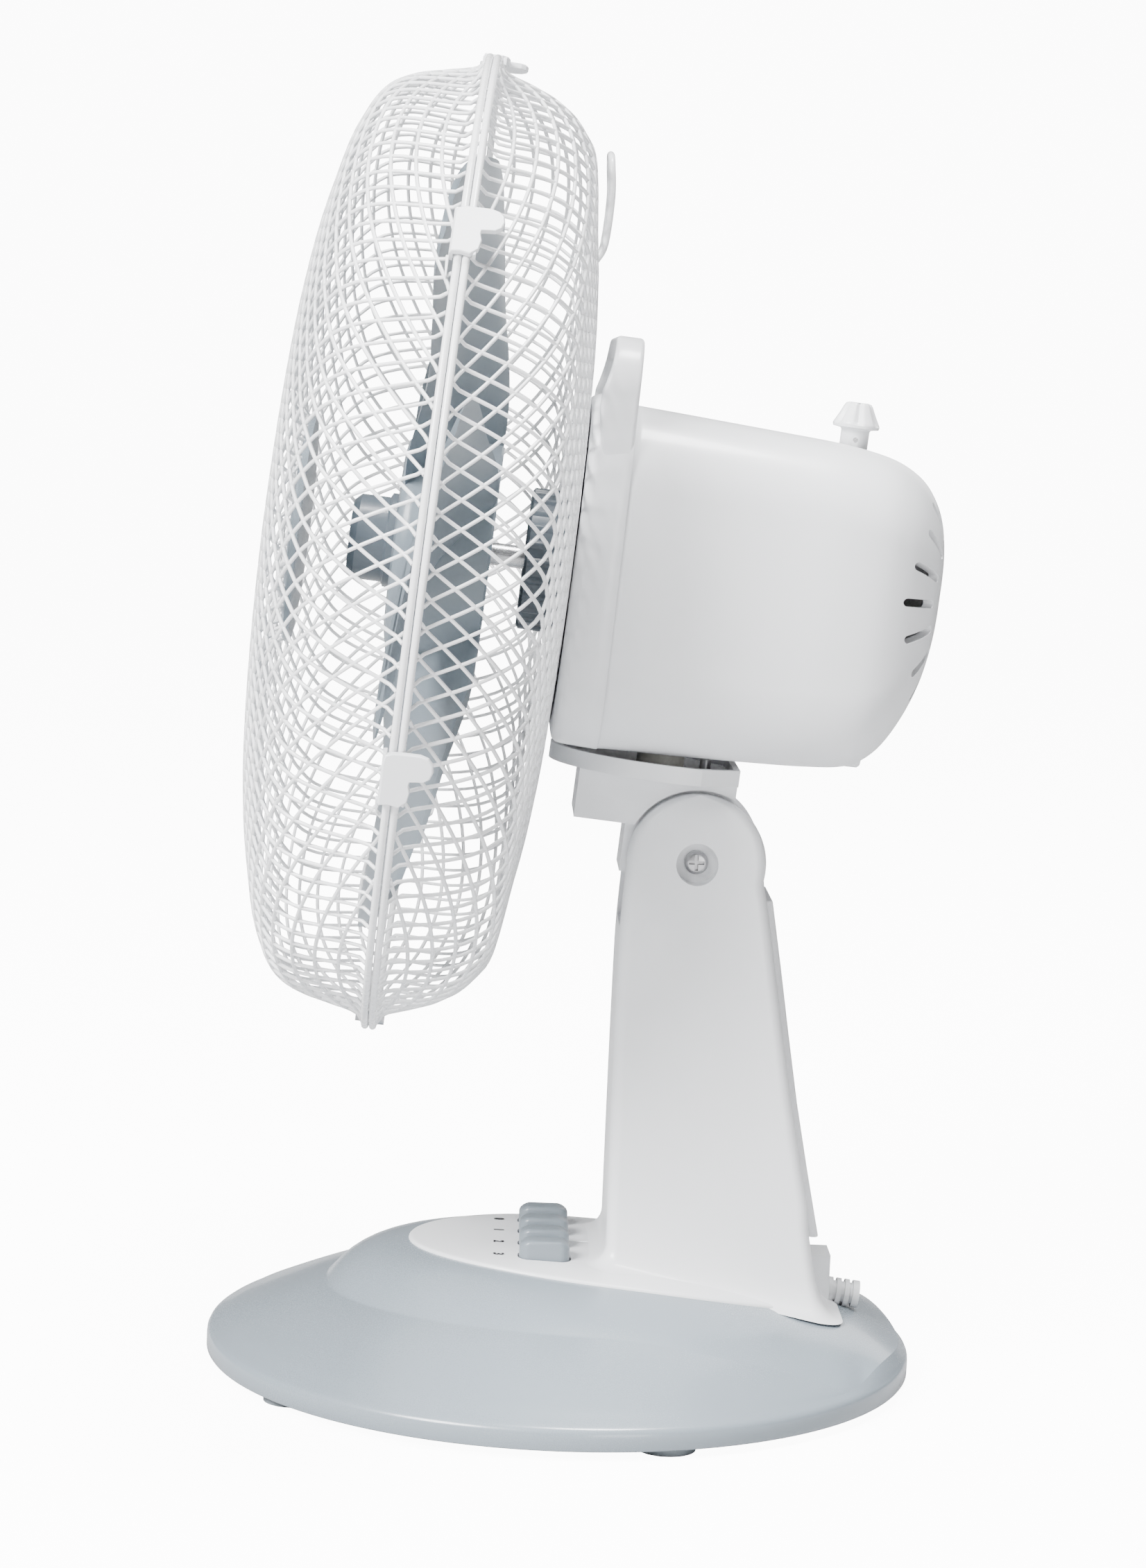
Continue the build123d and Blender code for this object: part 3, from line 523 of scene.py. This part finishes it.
def base_top(x, y):
    """Height of the base cover: a round dome with a raised tongue under the panel."""
    dome = along(DOME_LINE, math.hypot(x, y))
    share, front, edge = tongue_share(x, y)
    if share >= 1:
        return dome
    crown = along(CROWN_LINE, y)
    foot = along(DOME_LINE, math.hypot(*edge))
    fall = FALL_SIDE + (FALL_FRONT - FALL_SIDE) * front
    return max(dome, crown - (crown - foot) * share ** fall)


def reach(direction, centre_y, semi):
    """Distance from the tongue's middle along a direction to an ellipse about (0, centre_y)."""
    dx, dy = direction[0] / semi[0], direction[1] / semi[1]
    start = (TONGUE_Y - centre_y) / semi[1]
    a, b, c = dx * dx + dy * dy, start * dy, start * start - 1
    return (math.sqrt(b * b - a * c) - b) / a


def tongue_reach(direction, limit):
    if direction[1] < 0:
        return reach(direction, TONGUE_Y, TONGUE_SEMI)
    far = TONGUE_SEMI[0]
    for _ in range(12):
        half = along(TONGUE_SIDE, TONGUE_Y + direction[1] * far)
        far = min(half / max(abs(direction[0]), 1e-6), 2 * limit)
    return far


def base_rows():
    rows = []
    for step in range(200):
        angle = TURN * step / 200
        direction = (math.cos(angle), math.sin(angle))
        inner = reach(direction, PANEL_Y, (PANEL_SEMI[0] - 4, PANEL_SEMI[1] - 4))
        rim = reach(direction, 0.0, (RIM_IN, RIM_IN))
        crease = min(tongue_reach(direction, rim), rim - 3.0)
        crease = max(crease, inner + 4.0)
        reaches = spread(inner, crease - 0.9, 13) + [crease - 0.3, crease + 0.3]
        reaches += spread(crease + 0.9, rim, 12)
        row = []
        for distance in reaches:
            x, y = direction[0] * distance, TONGUE_Y + direction[1] * distance
            row.append((x, y, base_top(x, y)))
        x, y, _ = row[-1]
        for radius, height in RIM_LINE:
            row.append((x * radius / RIM_IN, y * radius / RIM_IN, height))
        rows.append(row)
    return rows


def make_base():
    cover = mesh_object("base_cover_skin", [skin(base_rows(), around=False, ends=False, loop=True)], WORLD)
    thicken(cover, COVER_WALL)
    dress(cover, "base_grey", "base", ["base_cover"], sharp=55.0)


def panel_ring(grow, lift, steps=120):
    row = []
    for step in range(steps):
        angle = TURN * step / steps
        x = (PANEL_SEMI[0] + grow) * math.cos(angle)
        y = PANEL_Y + (PANEL_SEMI[1] + grow) * math.sin(angle)
        row.append((x, y, base_top(x, y) + lift))
    return row


def key_outline(grow):
    return round_box(KEY_HALF[0] + grow, KEY_HALF[1] + grow, KEY_CORNER + grow)


def panel_skin():
    rows = [panel_ring(grow, PANEL_PROUD) for grow in spread(-49.0, -2.2, 26)]
    rows += [panel_ring(-1.2, 0.98), panel_ring(-0.5, 0.84), panel_ring(-0.12, 0.5), panel_ring(0, 0.05)]
    rows.append(panel_ring(0, -1.0))
    rows += [panel_ring(grow, PANEL_PROUD - PANEL_WALL) for grow in spread(-2.0, -49.0, 12)]
    return skin(rows)


def make_panel():
    panel = mesh_object("control_panel", [panel_skin()], WORLD)
    holes = []
    for x in KEY_X:
        outline = key_outline(KEY_GAP)
        holes.append(skin([[(x + px, KEY_Y + py, z) for px, py in outline] for z in (30.0, 60.0)]))
    carve(panel, holes, WORLD)
    round_edges(panel, 0.35, 50.0)
    dress(panel, "white_plastic", "base", sharp=None)


def key_skin(x):
    def crown(y):
        return KEY_TOP - KEY_CROWN + math.sqrt(KEY_CROWN ** 2 - (y - KEY_Y) ** 2)

    rows = [[(x + px, KEY_Y + py, KEY_LOW) for px, py in key_outline(0)]]
    for inset, drop in KEY_EDGE:
        rows.append([(x + px, KEY_Y + py, crown(KEY_Y + py) - drop) for px, py in key_outline(-inset)])
    return skin(rows)


def make_keys():
    for index, x in enumerate(KEY_X):
        node = "key_" + str(index)
        key = mesh_object(node + "_cap", [key_skin(x)], WORLD)
        dress(key, "key_grey", node, [node], sharp=60.0)
        text = bpy.data.curves.new("digit_" + str(index), "FONT")
        text.body = str(index)
        text.size = DIGIT_SIZE * MM
        text.extrude = 0.05 * MM
        text.offset = 0.1 * MM
        text.align_x = "CENTER"
        digit = bpy.data.objects.new(text.name, text)
        bpy.context.scene.collection.objects.link(digit)
        height = base_top(x, DIGIT_Y) + PANEL_PROUD + 0.2
        slope_x = base_top(x + 1, DIGIT_Y) - base_top(x - 1, DIGIT_Y)
        slope_y = base_top(x, DIGIT_Y + 1) - base_top(x, DIGIT_Y - 1)
        up = Vector((-slope_x / 2, -slope_y / 2, 1)).normalized()
        right = Vector((1, 0, slope_x / 2)).normalized()
        turn = Matrix((right, up.cross(right), up)).transposed().to_4x4()
        digit.matrix_world = Matrix.Translation(Vector((x, DIGIT_Y, height)) * MM) @ turn
        dress(digit, "digit_ink", "base")


# ---------------------------------------------------------------- column
def column_span(z):
    """Y of the column's front and rear at a height, with the round top of its ears."""
    rear = along(COL_REAR, z)
    front = along(((0, COL_FRONT), (150, COL_FRONT), (PIVOT_Z, PIVOT_Y - EAR_R)), z)
    round_half = math.sqrt(max(EAR_R ** 2 - (z - PIVOT_Z) ** 2, 0.0))
    if z > PIVOT_Z:
        return PIVOT_Y - round_half, PIVOT_Y + round_half
    return front, max(rear, PIVOT_Y + round_half) if z > PIVOT_Z - EAR_R else rear


def column_row(z, grow=0.0):
    (low, low_half), (high, high_half) = COL_HALF
    half = low_half + (high_half - low_half) * (z - low) / (high - low)
    front, rear = column_span(z)
    corner = COL_CORNER + grow
    outline = round_box(half + grow, max((rear - front) / 2, 0.05) + grow, corner, 8)
    return [(x, (front + rear) / 2 + y, z) for x, y in outline]


def column_skin():
    rows = []
    for angle in spread(0.0, TURN / 4, 9):
        out, lift = FOOT_FLARE * (1 - math.sin(angle)), FOOT_FLARE * (1 - math.cos(angle))
        low_row = column_row(34.0 + lift, out)
        rows.append([(x, y, base_top(x, y) + PANEL_PROUD - 0.06 + lift) for x, y, _ in low_row])
    foot = rows[-1]
    for share in (0.15, 0.4, 0.7):
        level = column_row(44.0 + 26.0 * share)
        rows.append([(x, y, (1 - share) * z + share * 66.0) for (x, y, _), (_, _, z) in zip(level, foot)])
    rows += [column_row(z) for z in spread(66.0, 150.0, 8)]
    rows += [column_row(z) for z in spread(156.0, PIVOT_Z, 12)]
    rows += [column_row(PIVOT_Z + EAR_R * math.sin(angle)) for angle in spread(0.07, TURN / 4 - 0.02, 22)]
    return skin(rows)


def box_skin(x, y, z):
    return skin([[(x[i], y[j], level) for i, j in ((0, 0), (1, 0), (1, 1), (0, 1))] for level in z])


def pivot_turned(line, steps=48):
    """A skin turned about the tilt axis from (x, radius) pairs."""
    rows = []
    for x, radius in line:
        angles = [TURN * step / steps for step in range(steps)]
        rows.append([(x, PIVOT_Y + radius * math.cos(a), PIVOT_Z + radius * math.sin(a)) for a in angles])
    return skin(rows)


def make_tilt_screw():
    """The screw at the foot of its round recess, with a cross cut in its head."""
    screw = mesh_object("tilt_screw", [pivot_turned(SCREW_LINE)], WORLD)
    long, thin = CROSS_CUT
    cuts = []
    for a, b in ((long, thin), (thin, long)):
        cuts.append(box_skin(CROSS_X, (PIVOT_Y - a, PIVOT_Y + a), (PIVOT_Z - b, PIVOT_Z + b)))
    carve(screw, cuts, WORLD)
    round_edges(screw, 0.12, 45.0)
    dress(screw, "screw_steel", "base", ["tilt_bolt"], sharp=None)


def make_column():
    column = mesh_object("column_moulding", [column_skin()], WORLD)
    cuts = [box_skin((-FORK_HALF, FORK_HALF), (-10, 120), (FORK_Z, 230))]
    for low, high in ((RECESS_X, 40), (-40, -RECESS_X)):
        cuts.append(pivot_turned(((low, RECESS_R), (high, RECESS_R))))
    carve(column, cuts, WORLD)
    round_edges(column, 0.8, 55.0)
    dress(column, "white_plastic", "base", ["column_housing"], sharp=None)
    rows = []
    for z in spread(STRIP_Z[0], STRIP_Z[1], 6):
        rear = along(COL_REAR, z)
        outline = round_box(STRIP_HALF, (STRIP_PROUD + 1.6) / 2, 1.6, 5)
        rows.append([(x, rear + (STRIP_PROUD - 1.6) / 2 + y, z) for x, y in outline])
    strip = mesh_object("column_rear_strip", [skin(rows)], WORLD)
    round_edges(strip, 0.6, 50.0)
    dress(strip, "white_plastic", "base", ["column_rear_cover"], sharp=None)


# ---------------------------------------------------------------- motor housing
def shell_row(station, inset):
    forward, top, bottom, half, corner = station
    outline = round_box(half - inset, (top - bottom) / 2 - inset, corner - inset, 12)
    return [(x, (top + bottom) / 2 + y, forward) for x, y in outline]


def make_rear_cover():
    stations = smooth_row(SHELL, 5)
    rows = [shell_row(station, 0.0) for station in stations]
    inside = [station for station in stations if station[0] > SHELL[-1][0] + SHELL_WALL + 1.0]
    rows += [shell_row((f + SHELL_WALL, t, b, h, c), SHELL_WALL) for f, t, b, h, c in reversed(inside)]
    points, faces = skin(rows, loop=True, ends=False)
    bridge = len(stations) * len(rows[0])
    count = len(rows[0])
    faces = [face for face in faces if not (face[0] >= bridge - count and face[0] < bridge)]
    faces.append(tuple(range(bridge - count, bridge)))
    faces.append(tuple(range(bridge, bridge + count)))
    cover = mesh_object("motor_cover", [(points, faces)], HEAD)
    cuts = []
    for index in range(VENT_COUNT):
        turn = Matrix.Rotation(TURN * index / VENT_COUNT, 4, "Z")
        rows = []
        for forward in (-200.0, -150.0):
            outline = round_box(VENT_HALF, VENT_WIDE / 2, VENT_WIDE / 2, 4)
            slot = [turn @ Vector((VENT_R + x, y, forward)) for x, y in outline]
            rows.append([tuple(point + Vector((0, VENT_UP, 0))) for point in slot])
        cuts.append(skin(rows))
    rows = []
    for up in (40.0, 70.0):
        angles = [TURN * step / 40 for step in range(40)]
        hole = [(KNOB_HOLE_R * math.cos(a), KNOB_HOLE_F + KNOB_HOLE_R * math.sin(a)) for a in angles]
        rows.append([(x, up, forward) for x, forward in hole])
    cuts.append(skin(rows))
    cuts.append(skin([[(x, up, forward) for x, forward in POST_HOLE] for up in (-70, -50)]))
    carve(cover, cuts, HEAD)
    round_edges(cover, 0.2, 50.0)
    dress(cover, "white_plastic", "head", ["motor_rear_cover"], sharp=None)
    place = HEAD @ Matrix.Translation((0, CHIN_UP, 0))
    chin = mesh_object("cover_chin", [turned(CHIN_LINE, 40, False)], place)
    dress(chin, "white_plastic", "head", sharp=45.0)


def handle_skin():
    path = [(HANDLE_HALF, up, 1.0, 0.0) for up in spread(HANDLE_LOW, HANDLE_UP - HANDLE_BEND - 1.0, 7)]
    bend = HANDLE_UP - HANDLE_BEND
    for angle in spread(0.0, TURN / 4, 10):
        x = HANDLE_HALF - HANDLE_BEND + HANDLE_BEND * math.cos(angle)
        path.append((x, bend + HANDLE_BEND * math.sin(angle), math.cos(angle), math.sin(angle)))
    path += [(-x, up, -nx, ny) for x, up, nx, ny in reversed(path)]
    rows = []
    for x, up, nx, ny in path:
        front, rear = along(HANDLE_FRONT, up), HANDLE_REAR + SLAB_DRAFT * (up - SLAB_BOTTOM)
        outline = round_box(HANDLE_BAR, (front - rear) / 2, 1.5, 5)
        rows.append([(x + nx * a, up + ny * a, (front + rear) / 2 + b) for a, b in outline])
    return skin(rows)


def make_front_cover():
    rows = []
    for forward, inset in SLAB:
        outline = round_box(SLAB_HALF - inset, (SLAB_TOP - SLAB_BOTTOM) / 2 - inset, SLAB_CORNER - inset, 12)
        middle = (SLAB_TOP + SLAB_BOTTOM) / 2
        draft = SLAB_DRAFT if forward < -60.0 else 0.0
        rows.append([(x, middle + y, forward + draft * (middle + y - SLAB_BOTTOM)) for x, y in outline])
    front = mesh_object("motor_front", [skin(rows)], HEAD)
    carve(front, [turned(((17.4, -70.0), (17.4, -40.0)), 48, loop=False)], HEAD)
    round_edges(front, 0.3, 50.0)
    dress(front, "white_plastic", "head", ["motor_front_cover"], sharp=None)
    handle = mesh_object("carrying_handle", [handle_skin()], HEAD)
    dress(handle, "white_plastic", "head", sharp=50.0)


def knob_radius(radius, up, angle):
    """Six shallow finger flutes on the knob's cone."""
    if not 62.0 < up < 69.3:
        return 0.0
    return -1.5 * max(math.cos(6 * angle), 0.0) ** 2


def make_knob():
    points, faces = turned(KNOB_LINE, 72, False, knob_radius)
    points = [(x, up, KNOB_F + y) for x, y, up in points]
    knob = mesh_object("knob", [(points, faces)], HEAD)
    rows = []
    for x in (-14.0, 14.0):
        angles = [TURN * step / 16 for step in range(16)]
        rows.append([(x, 56.4 + 0.9 * math.sin(a), KNOB_F + 0.9 * math.cos(a)) for a in angles])
    carve(knob, [skin(rows)], HEAD)
    dress(knob, "white_plastic", "knob", ["oscillation_knob"], sharp=45.0)


# ---------------------------------------------------------------- fan
def blade_skin(turn):
    rows = []
    for radius in spread(BLADE_ROOT, BLADE_END, 30):
        tip = max(radius - (BLADE_END - 12.0), 0.0) / 12.0
        half = along(BLADE_HALF, radius) * math.sqrt(max(1 - 0.3 * tip ** 3, 0.05))
        climb = math.tan(math.radians(along(BLADE_PITCH, radius)))
        lead = along(BLADE_LEAD, radius)
        row = []
        for side in (1, -1):
            for share in spread(-side, side, 17):
                across = radius * half * share
                camber = BLADE_CAMBER * radius * half * (1 - 2 * share * share)
                round_off = math.sqrt(max(1 - abs(share) ** 8, 0.0))
                forward = lead - across * climb + camber + side * BLADE_THICK / 2 * round_off
                angle = half * share + BLADE_SWEEP * (radius - BLADE_ROOT)
                point = Vector((radius * math.cos(angle), radius * math.sin(angle), forward))
                row.append(tuple(turn @ point))
        rows.append(row)
    return skin(rows)


def make_fan():
    skins = []
    for index in range(BLADE_COUNT):
        angle = math.radians(BLADE_FIRST) + TURN * index / BLADE_COUNT
        skins.append(blade_skin(Matrix.Rotation(angle, 4, "Z")))
    blades = mesh_object("blades", skins, HEAD)
    dress(blades, "blade_grey", "rotor", ["fan_blade"], sharp=60.0)
    hub = mesh_object("blade_hub", [turned(HUB_LINE), turned(BOSS_LINE, 48)], HEAD)
    dress(hub, "blade_grey", "rotor", sharp=35.0)
    spinner = mesh_object("spinner", [turned(SPINNER_LINE, 72, False)], HEAD)
    dress(spinner, "nut_grey", "rotor", ["spinner_nut"], sharp=30.0)


# ---------------------------------------------------------------- guards
def dish_profile(line):
    """The line from the middle outwards, as (length from the middle, forward, radius)."""
    fine = smooth_row(line, 8)[::-1]
    length = fine[0][1]
    profile = [(length, *fine[0])]
    for before, after in zip(fine, fine[1:]):
        length += math.hypot(after[0] - before[0], after[1] - before[1])
        profile.append((length, *after))
    return profile


def drawn(profile, across, up):
    """A point of the flat net, drawn over the dish: its distance out becomes length along the dish."""
    length = math.hypot(across, up)
    index = next((i for i in range(1, len(profile) - 1) if profile[i][0] >= length), len(profile) - 1)
    (l0, f0, r0), (l1, f1, r1) = profile[index - 1], profile[index]
    share = min(max((length - l0) / (l1 - l0), 0.0), 1.0)
    radius = r0 + (r1 - r0) * share
    return (radius * across / length, radius * up / length, f0 + (f1 - f0) * share)


def net(line):
    """Two families of straight wires, crossed as a diamond net and drawn over the dish."""
    profile = dish_profile(line)
    inner, outer = profile[0][0], profile[-1][0]
    half = int(outer / NET_PITCH)
    runs = []
    for lean in (NET_ANGLE, -NET_ANGLE):
        along_x, along_y = math.cos(lean), math.sin(lean)
        for index in range(-half, half):
            offset = (index + 0.5) * NET_PITCH
            if abs(offset) > outer - 1.5:
                continue
            far = math.sqrt(outer ** 2 - offset ** 2)
            near = math.sqrt(inner ** 2 - offset ** 2) if abs(offset) < inner else None
            spans = [(-far, far)] if near is None else [(-far, -near), (near, far)]
            for low, high in spans:
                count = max(int((high - low) / NET_STEP), 2) + 1
                run = []
                for t in spread(low, high, count):
                    x, y = -along_y * offset + along_x * t, along_x * offset + along_y * t
                    run.append(drawn(profile, x, y))
                runs.append(run)
    return runs


def ring_run(radius, forward, steps=240):
    angles = [TURN * step / steps for step in range(steps)]
    return [(radius * math.cos(angle), radius * math.sin(angle), forward) for angle in angles]


def clip_point(centre, a, forward, radius):
    angle = math.radians(centre) + a / RING_R
    return (radius * math.cos(angle), radius * math.sin(angle), forward)


def clip_skins(centre):
    """A snap clip over both rims: a bent plate with a thumb tab, two lips and a thin tail."""
    outline = [(-9.0, 3.9), (-8.6, 1.0), (-9.2, -2.4), (-7.0, -4.8), (-3.4, -5.4), (-1.0, -4.8), (0.4, -5.0),
               (0.7, -7.0), (0.9, -9.4), (2.2, -11.2), (4.6, -12.0), (7.0, -11.6), (8.8, -10.0), (9.6, -7.4),
               (9.6, -3.0), (9.4, 1.2), (8.6, 3.4), (6.0, 3.9)]
    levels = ((171.7, 0.0), (172.5, 0.0), (173.3, 0.0), (173.7, -0.5))
    rows = []
    for radius, grow in levels:
        wide, deep = 1 + grow * 0.06, 1 + grow * 0.08
        rows.append([clip_point(centre, a * wide, f * deep, radius) for a, f in outline])
    plate = skin(rows)
    lips = []
    for low, high, bottom in ((3.0, 4.3, 168.4), (-4.2, -3.0, 170.2)):
        rows = []
        for a in spread(-9.0, 9.0, 5):
            corners = ((low, bottom), (high, bottom + 0.4), (high, 172.4), (high - 0.5, 173.2), (low, 173.2))
            rows.append([clip_point(centre, a, f, radius) for f, radius in corners])
        lips.append(skin(rows))
    rows = []
    for a, wide, rise in ((-8.4, 1.1, 0.0), (-10.6, 1.0, 0.0), (-13.0, 0.8, -0.4), (-15.4, 0.5, -1.4)):
        corners = ((4.6, 168.6), (4.6 + wide, 168.8), (4.6 + wide, 170.4), (4.6, 170.6))
        rows.append([clip_point(centre, a, f - 0.6, radius + rise) for f, radius in corners])
    return [plate, *lips, skin(rows)]


def make_guards():
    stand_ins = {"front": ["front_guard_wires"], "rear": ["rear_guard_wires"]}
    for side, line in (("front", FRONT_LINE), ("rear", REAR_LINE)):
        wires = wire_piece(side + "_net", net(line), WIRE_R, HEAD)
        dress(wires, "white_wire", "head", stand_ins[side])
        sign = 1 if side == "front" else -1
        rim = wire_piece(side + "_rim", [ring_run(RING_R, sign * RING_F)], RING_WIRE, HEAD, True, 3)
        dress(rim, "white_wire", "head", [side + "_guard_rim"])
    badge = mesh_object("badge", [turned(BADGE_LINE, 96, False)], HEAD)
    dress(badge, "base_grey", "head", ["front_badge"], sharp=30.0)
    plate = mesh_object("rear_plate", [turned(PLATE_LINE, 96)], HEAD)
    dress(plate, "white_wire", "head", ["rear_guard_plate"], sharp=30.0)
    hook = wire_piece("hanging_hook", [smooth_row(HOOK, 6)], 1.3, HEAD, False, 3)
    dress(hook, "white_wire", "head")

    def ribs(radius, forward, angle):
        return 1.0 * max(math.cos(LOCK_NUT_RIBS * angle), 0.0) if radius > 22.0 else 0.0

    nut = mesh_object("lock_ring", [turned(LOCK_NUT_LINE, 288, True, ribs)], HEAD)
    dress(nut, "nut_grey", "head", ["guard_lock_nut"], sharp=30.0)
    for index, centre in enumerate(CLIP_ANGLES, start=1):
        clip = mesh_object("snap_clip_" + str(index), clip_skins(centre), HEAD)
        round_edges(clip, 0.35, 30.0)
        dress(clip, "white_plastic", "clip_" + str(index), ["guard_clip_" + str(index)], sharp=None)


# ---------------------------------------------------------------- carried-over nodes
CARRIED = {
    "base_plate": "plate_steel", "ballast_weight": "ballast_iron", "rubber_feet": "foot_rubber",
    "base_screws": "screw_steel", "switch_block": "switch_plastic", "switch_stand": "plate_steel",
    "cord_gland": "white_plastic", "strain_relief": "relief_plastic",
    "tilt_nut": "screw_steel", "tilt_bracket": "white_plastic", "post_bush": "bush_plastic",
    "link_anchor_pin": "screw_steel", "cover_screw": "screw_steel", "stator_core": "core_steel",
    "stator_windings": "copper_wire", "front_end_shield": "shield_alloy", "rear_end_shield": "shield_alloy",
    "front_bearing": "bearing_bronze", "rear_bearing": "bearing_bronze", "gearbox": "bush_plastic",
    "motor_carrier": "plate_steel", "pivot_post": "shaft_steel", "capacitor": "capacitor_plastic",
    "lock_tabs": "white_wire", "lock_screw": "screw_steel", "lock_nut": "screw_steel",
    "motor_shaft": "shaft_steel", "drive_pin": "shaft_steel", "rotor_core": "core_steel",
    "knob_pin": "shaft_steel", "knob_rod": "shaft_steel", "crank_disc": "bush_plastic",
    "link_arm": "plate_steel",
}
ROUNDED = {"tilt_bracket": 0.8, "cord_gland": 0.7, "strain_relief": 0.3, "rubber_feet": 0.5,
           "lock_tabs": 0.25, "motor_carrier": 0.4, "gearbox": 0.6}


def dress_carried():
    for name, slot in CARRIED.items():
        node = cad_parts[name]
        node.data.materials.clear()
        node.data.materials.append(FINISHES[slot])
        node.data.shade_smooth()
        if name in ROUNDED:
            round_edges(node, ROUNDED[name], 40.0)
        else:
            node.data.set_sharp_from_angle(angle=math.radians(35.0))


# ---------------------------------------------------------------- stage, light and camera
SEEN_GLOW = 11.0
LIGHTS = (
    ("key_light", (1.5, -1.35, 1.6), 1.1, 215.0),
    ("fill_light", (2.3, 0.8, 0.3), 0.8, 14.0),
    ("top_light", (0.2, 0.3, 2.4), 0.7, 110.0),
    ("back_light", (-1.9, 0.8, 0.9), 0.9, 5.0),
)


def make_stage():
    """A pale round floor whose far edge rises as a smooth backdrop."""
    line = [(0.01, 0.0), (2500.0, 0.0), (4200.0, 0.0)]
    for angle in spread(0.05, TURN / 4, 12):
        line.append((4200.0 + 1800.0 * math.sin(angle), 1800.0 * (1 - math.cos(angle))))
    line.append((6000.0, 5200.0))
    points, faces = turned(line, 96, False)
    floor = mesh_object("studio_floor", [(points, faces[:-1])], WORLD)
    finish = Finish("studio_paper")
    cloud = finish.noise(3.0)
    pale = finish.blend(cloud, tint(0.47, 0.47, 0.475), tint(0.5, 0.5, 0.505))
    seen = finish.node("ShaderNodeLightPath", out="Is Camera Ray")
    glow = {"Color": tint(1.0, 1.0, 1.0), "Strength": seen * SEEN_GLOW}
    glow = finish.node("ShaderNodeEmission", {}, glow)
    finish.wear(Base_Color=pale, Roughness=0.9)
    lit = finish.node("ShaderNodeAddShader", {}, {0: Link(finish, finish.surface.outputs[0]), 1: glow})
    finish.feed(finish.tree.nodes["Material Output"].inputs["Surface"], lit)
    floor.data.materials.append(finish.material)
    floor.data.shade_smooth()


def soft_light(name, place, size, power):
    light = bpy.data.lights.new(name, "AREA")
    light.shape = "DISK"
    light.size = size
    light.energy = power
    made = bpy.data.objects.new(name, light)
    bpy.context.scene.collection.objects.link(made)
    made.location = place
    aim = Vector((0, 0, 0.25)) - Vector(place)
    made.rotation_euler = aim.to_track_quat("-Z", "Y").to_euler()


def make_light():
    world = bpy.data.worlds.new("studio_air")
    bpy.context.scene.world = world
    world.use_nodes = True
    sky = world.node_tree.nodes["Background"]
    sky.inputs["Color"].default_value = (0.97, 0.98, 1.0, 1.0)
    sky.inputs["Strength"].default_value = 0.16
    for name, place, size, power in LIGHTS:
        soft_light(name, place, size, power)


def make_camera():
    data = bpy.data.cameras.new("studio_camera")
    data.lens = 82.96
    data.sensor_width = 36.0
    data.clip_start = 0.05
    camera = bpy.data.objects.new("studio_camera", data)
    bpy.context.scene.collection.objects.link(camera)
    right = Vector((0.017196, 0.998953, 0.042402))
    up = Vector((-0.111254, -0.040233, 0.992977))
    back = right.cross(up)
    turn = Matrix((right, up, back)).transposed().to_4x4()
    camera.matrix_world = Matrix.Translation((1.27522, -0.03083, 0.35042)) @ turn
    bpy.context.scene.camera = camera


make_camera()
make_stage()
make_light()
make_base()
make_panel()
make_keys()
make_column()
make_tilt_screw()
make_rear_cover()
make_front_cover()
make_knob()
make_fan()
make_guards()
dress_carried()
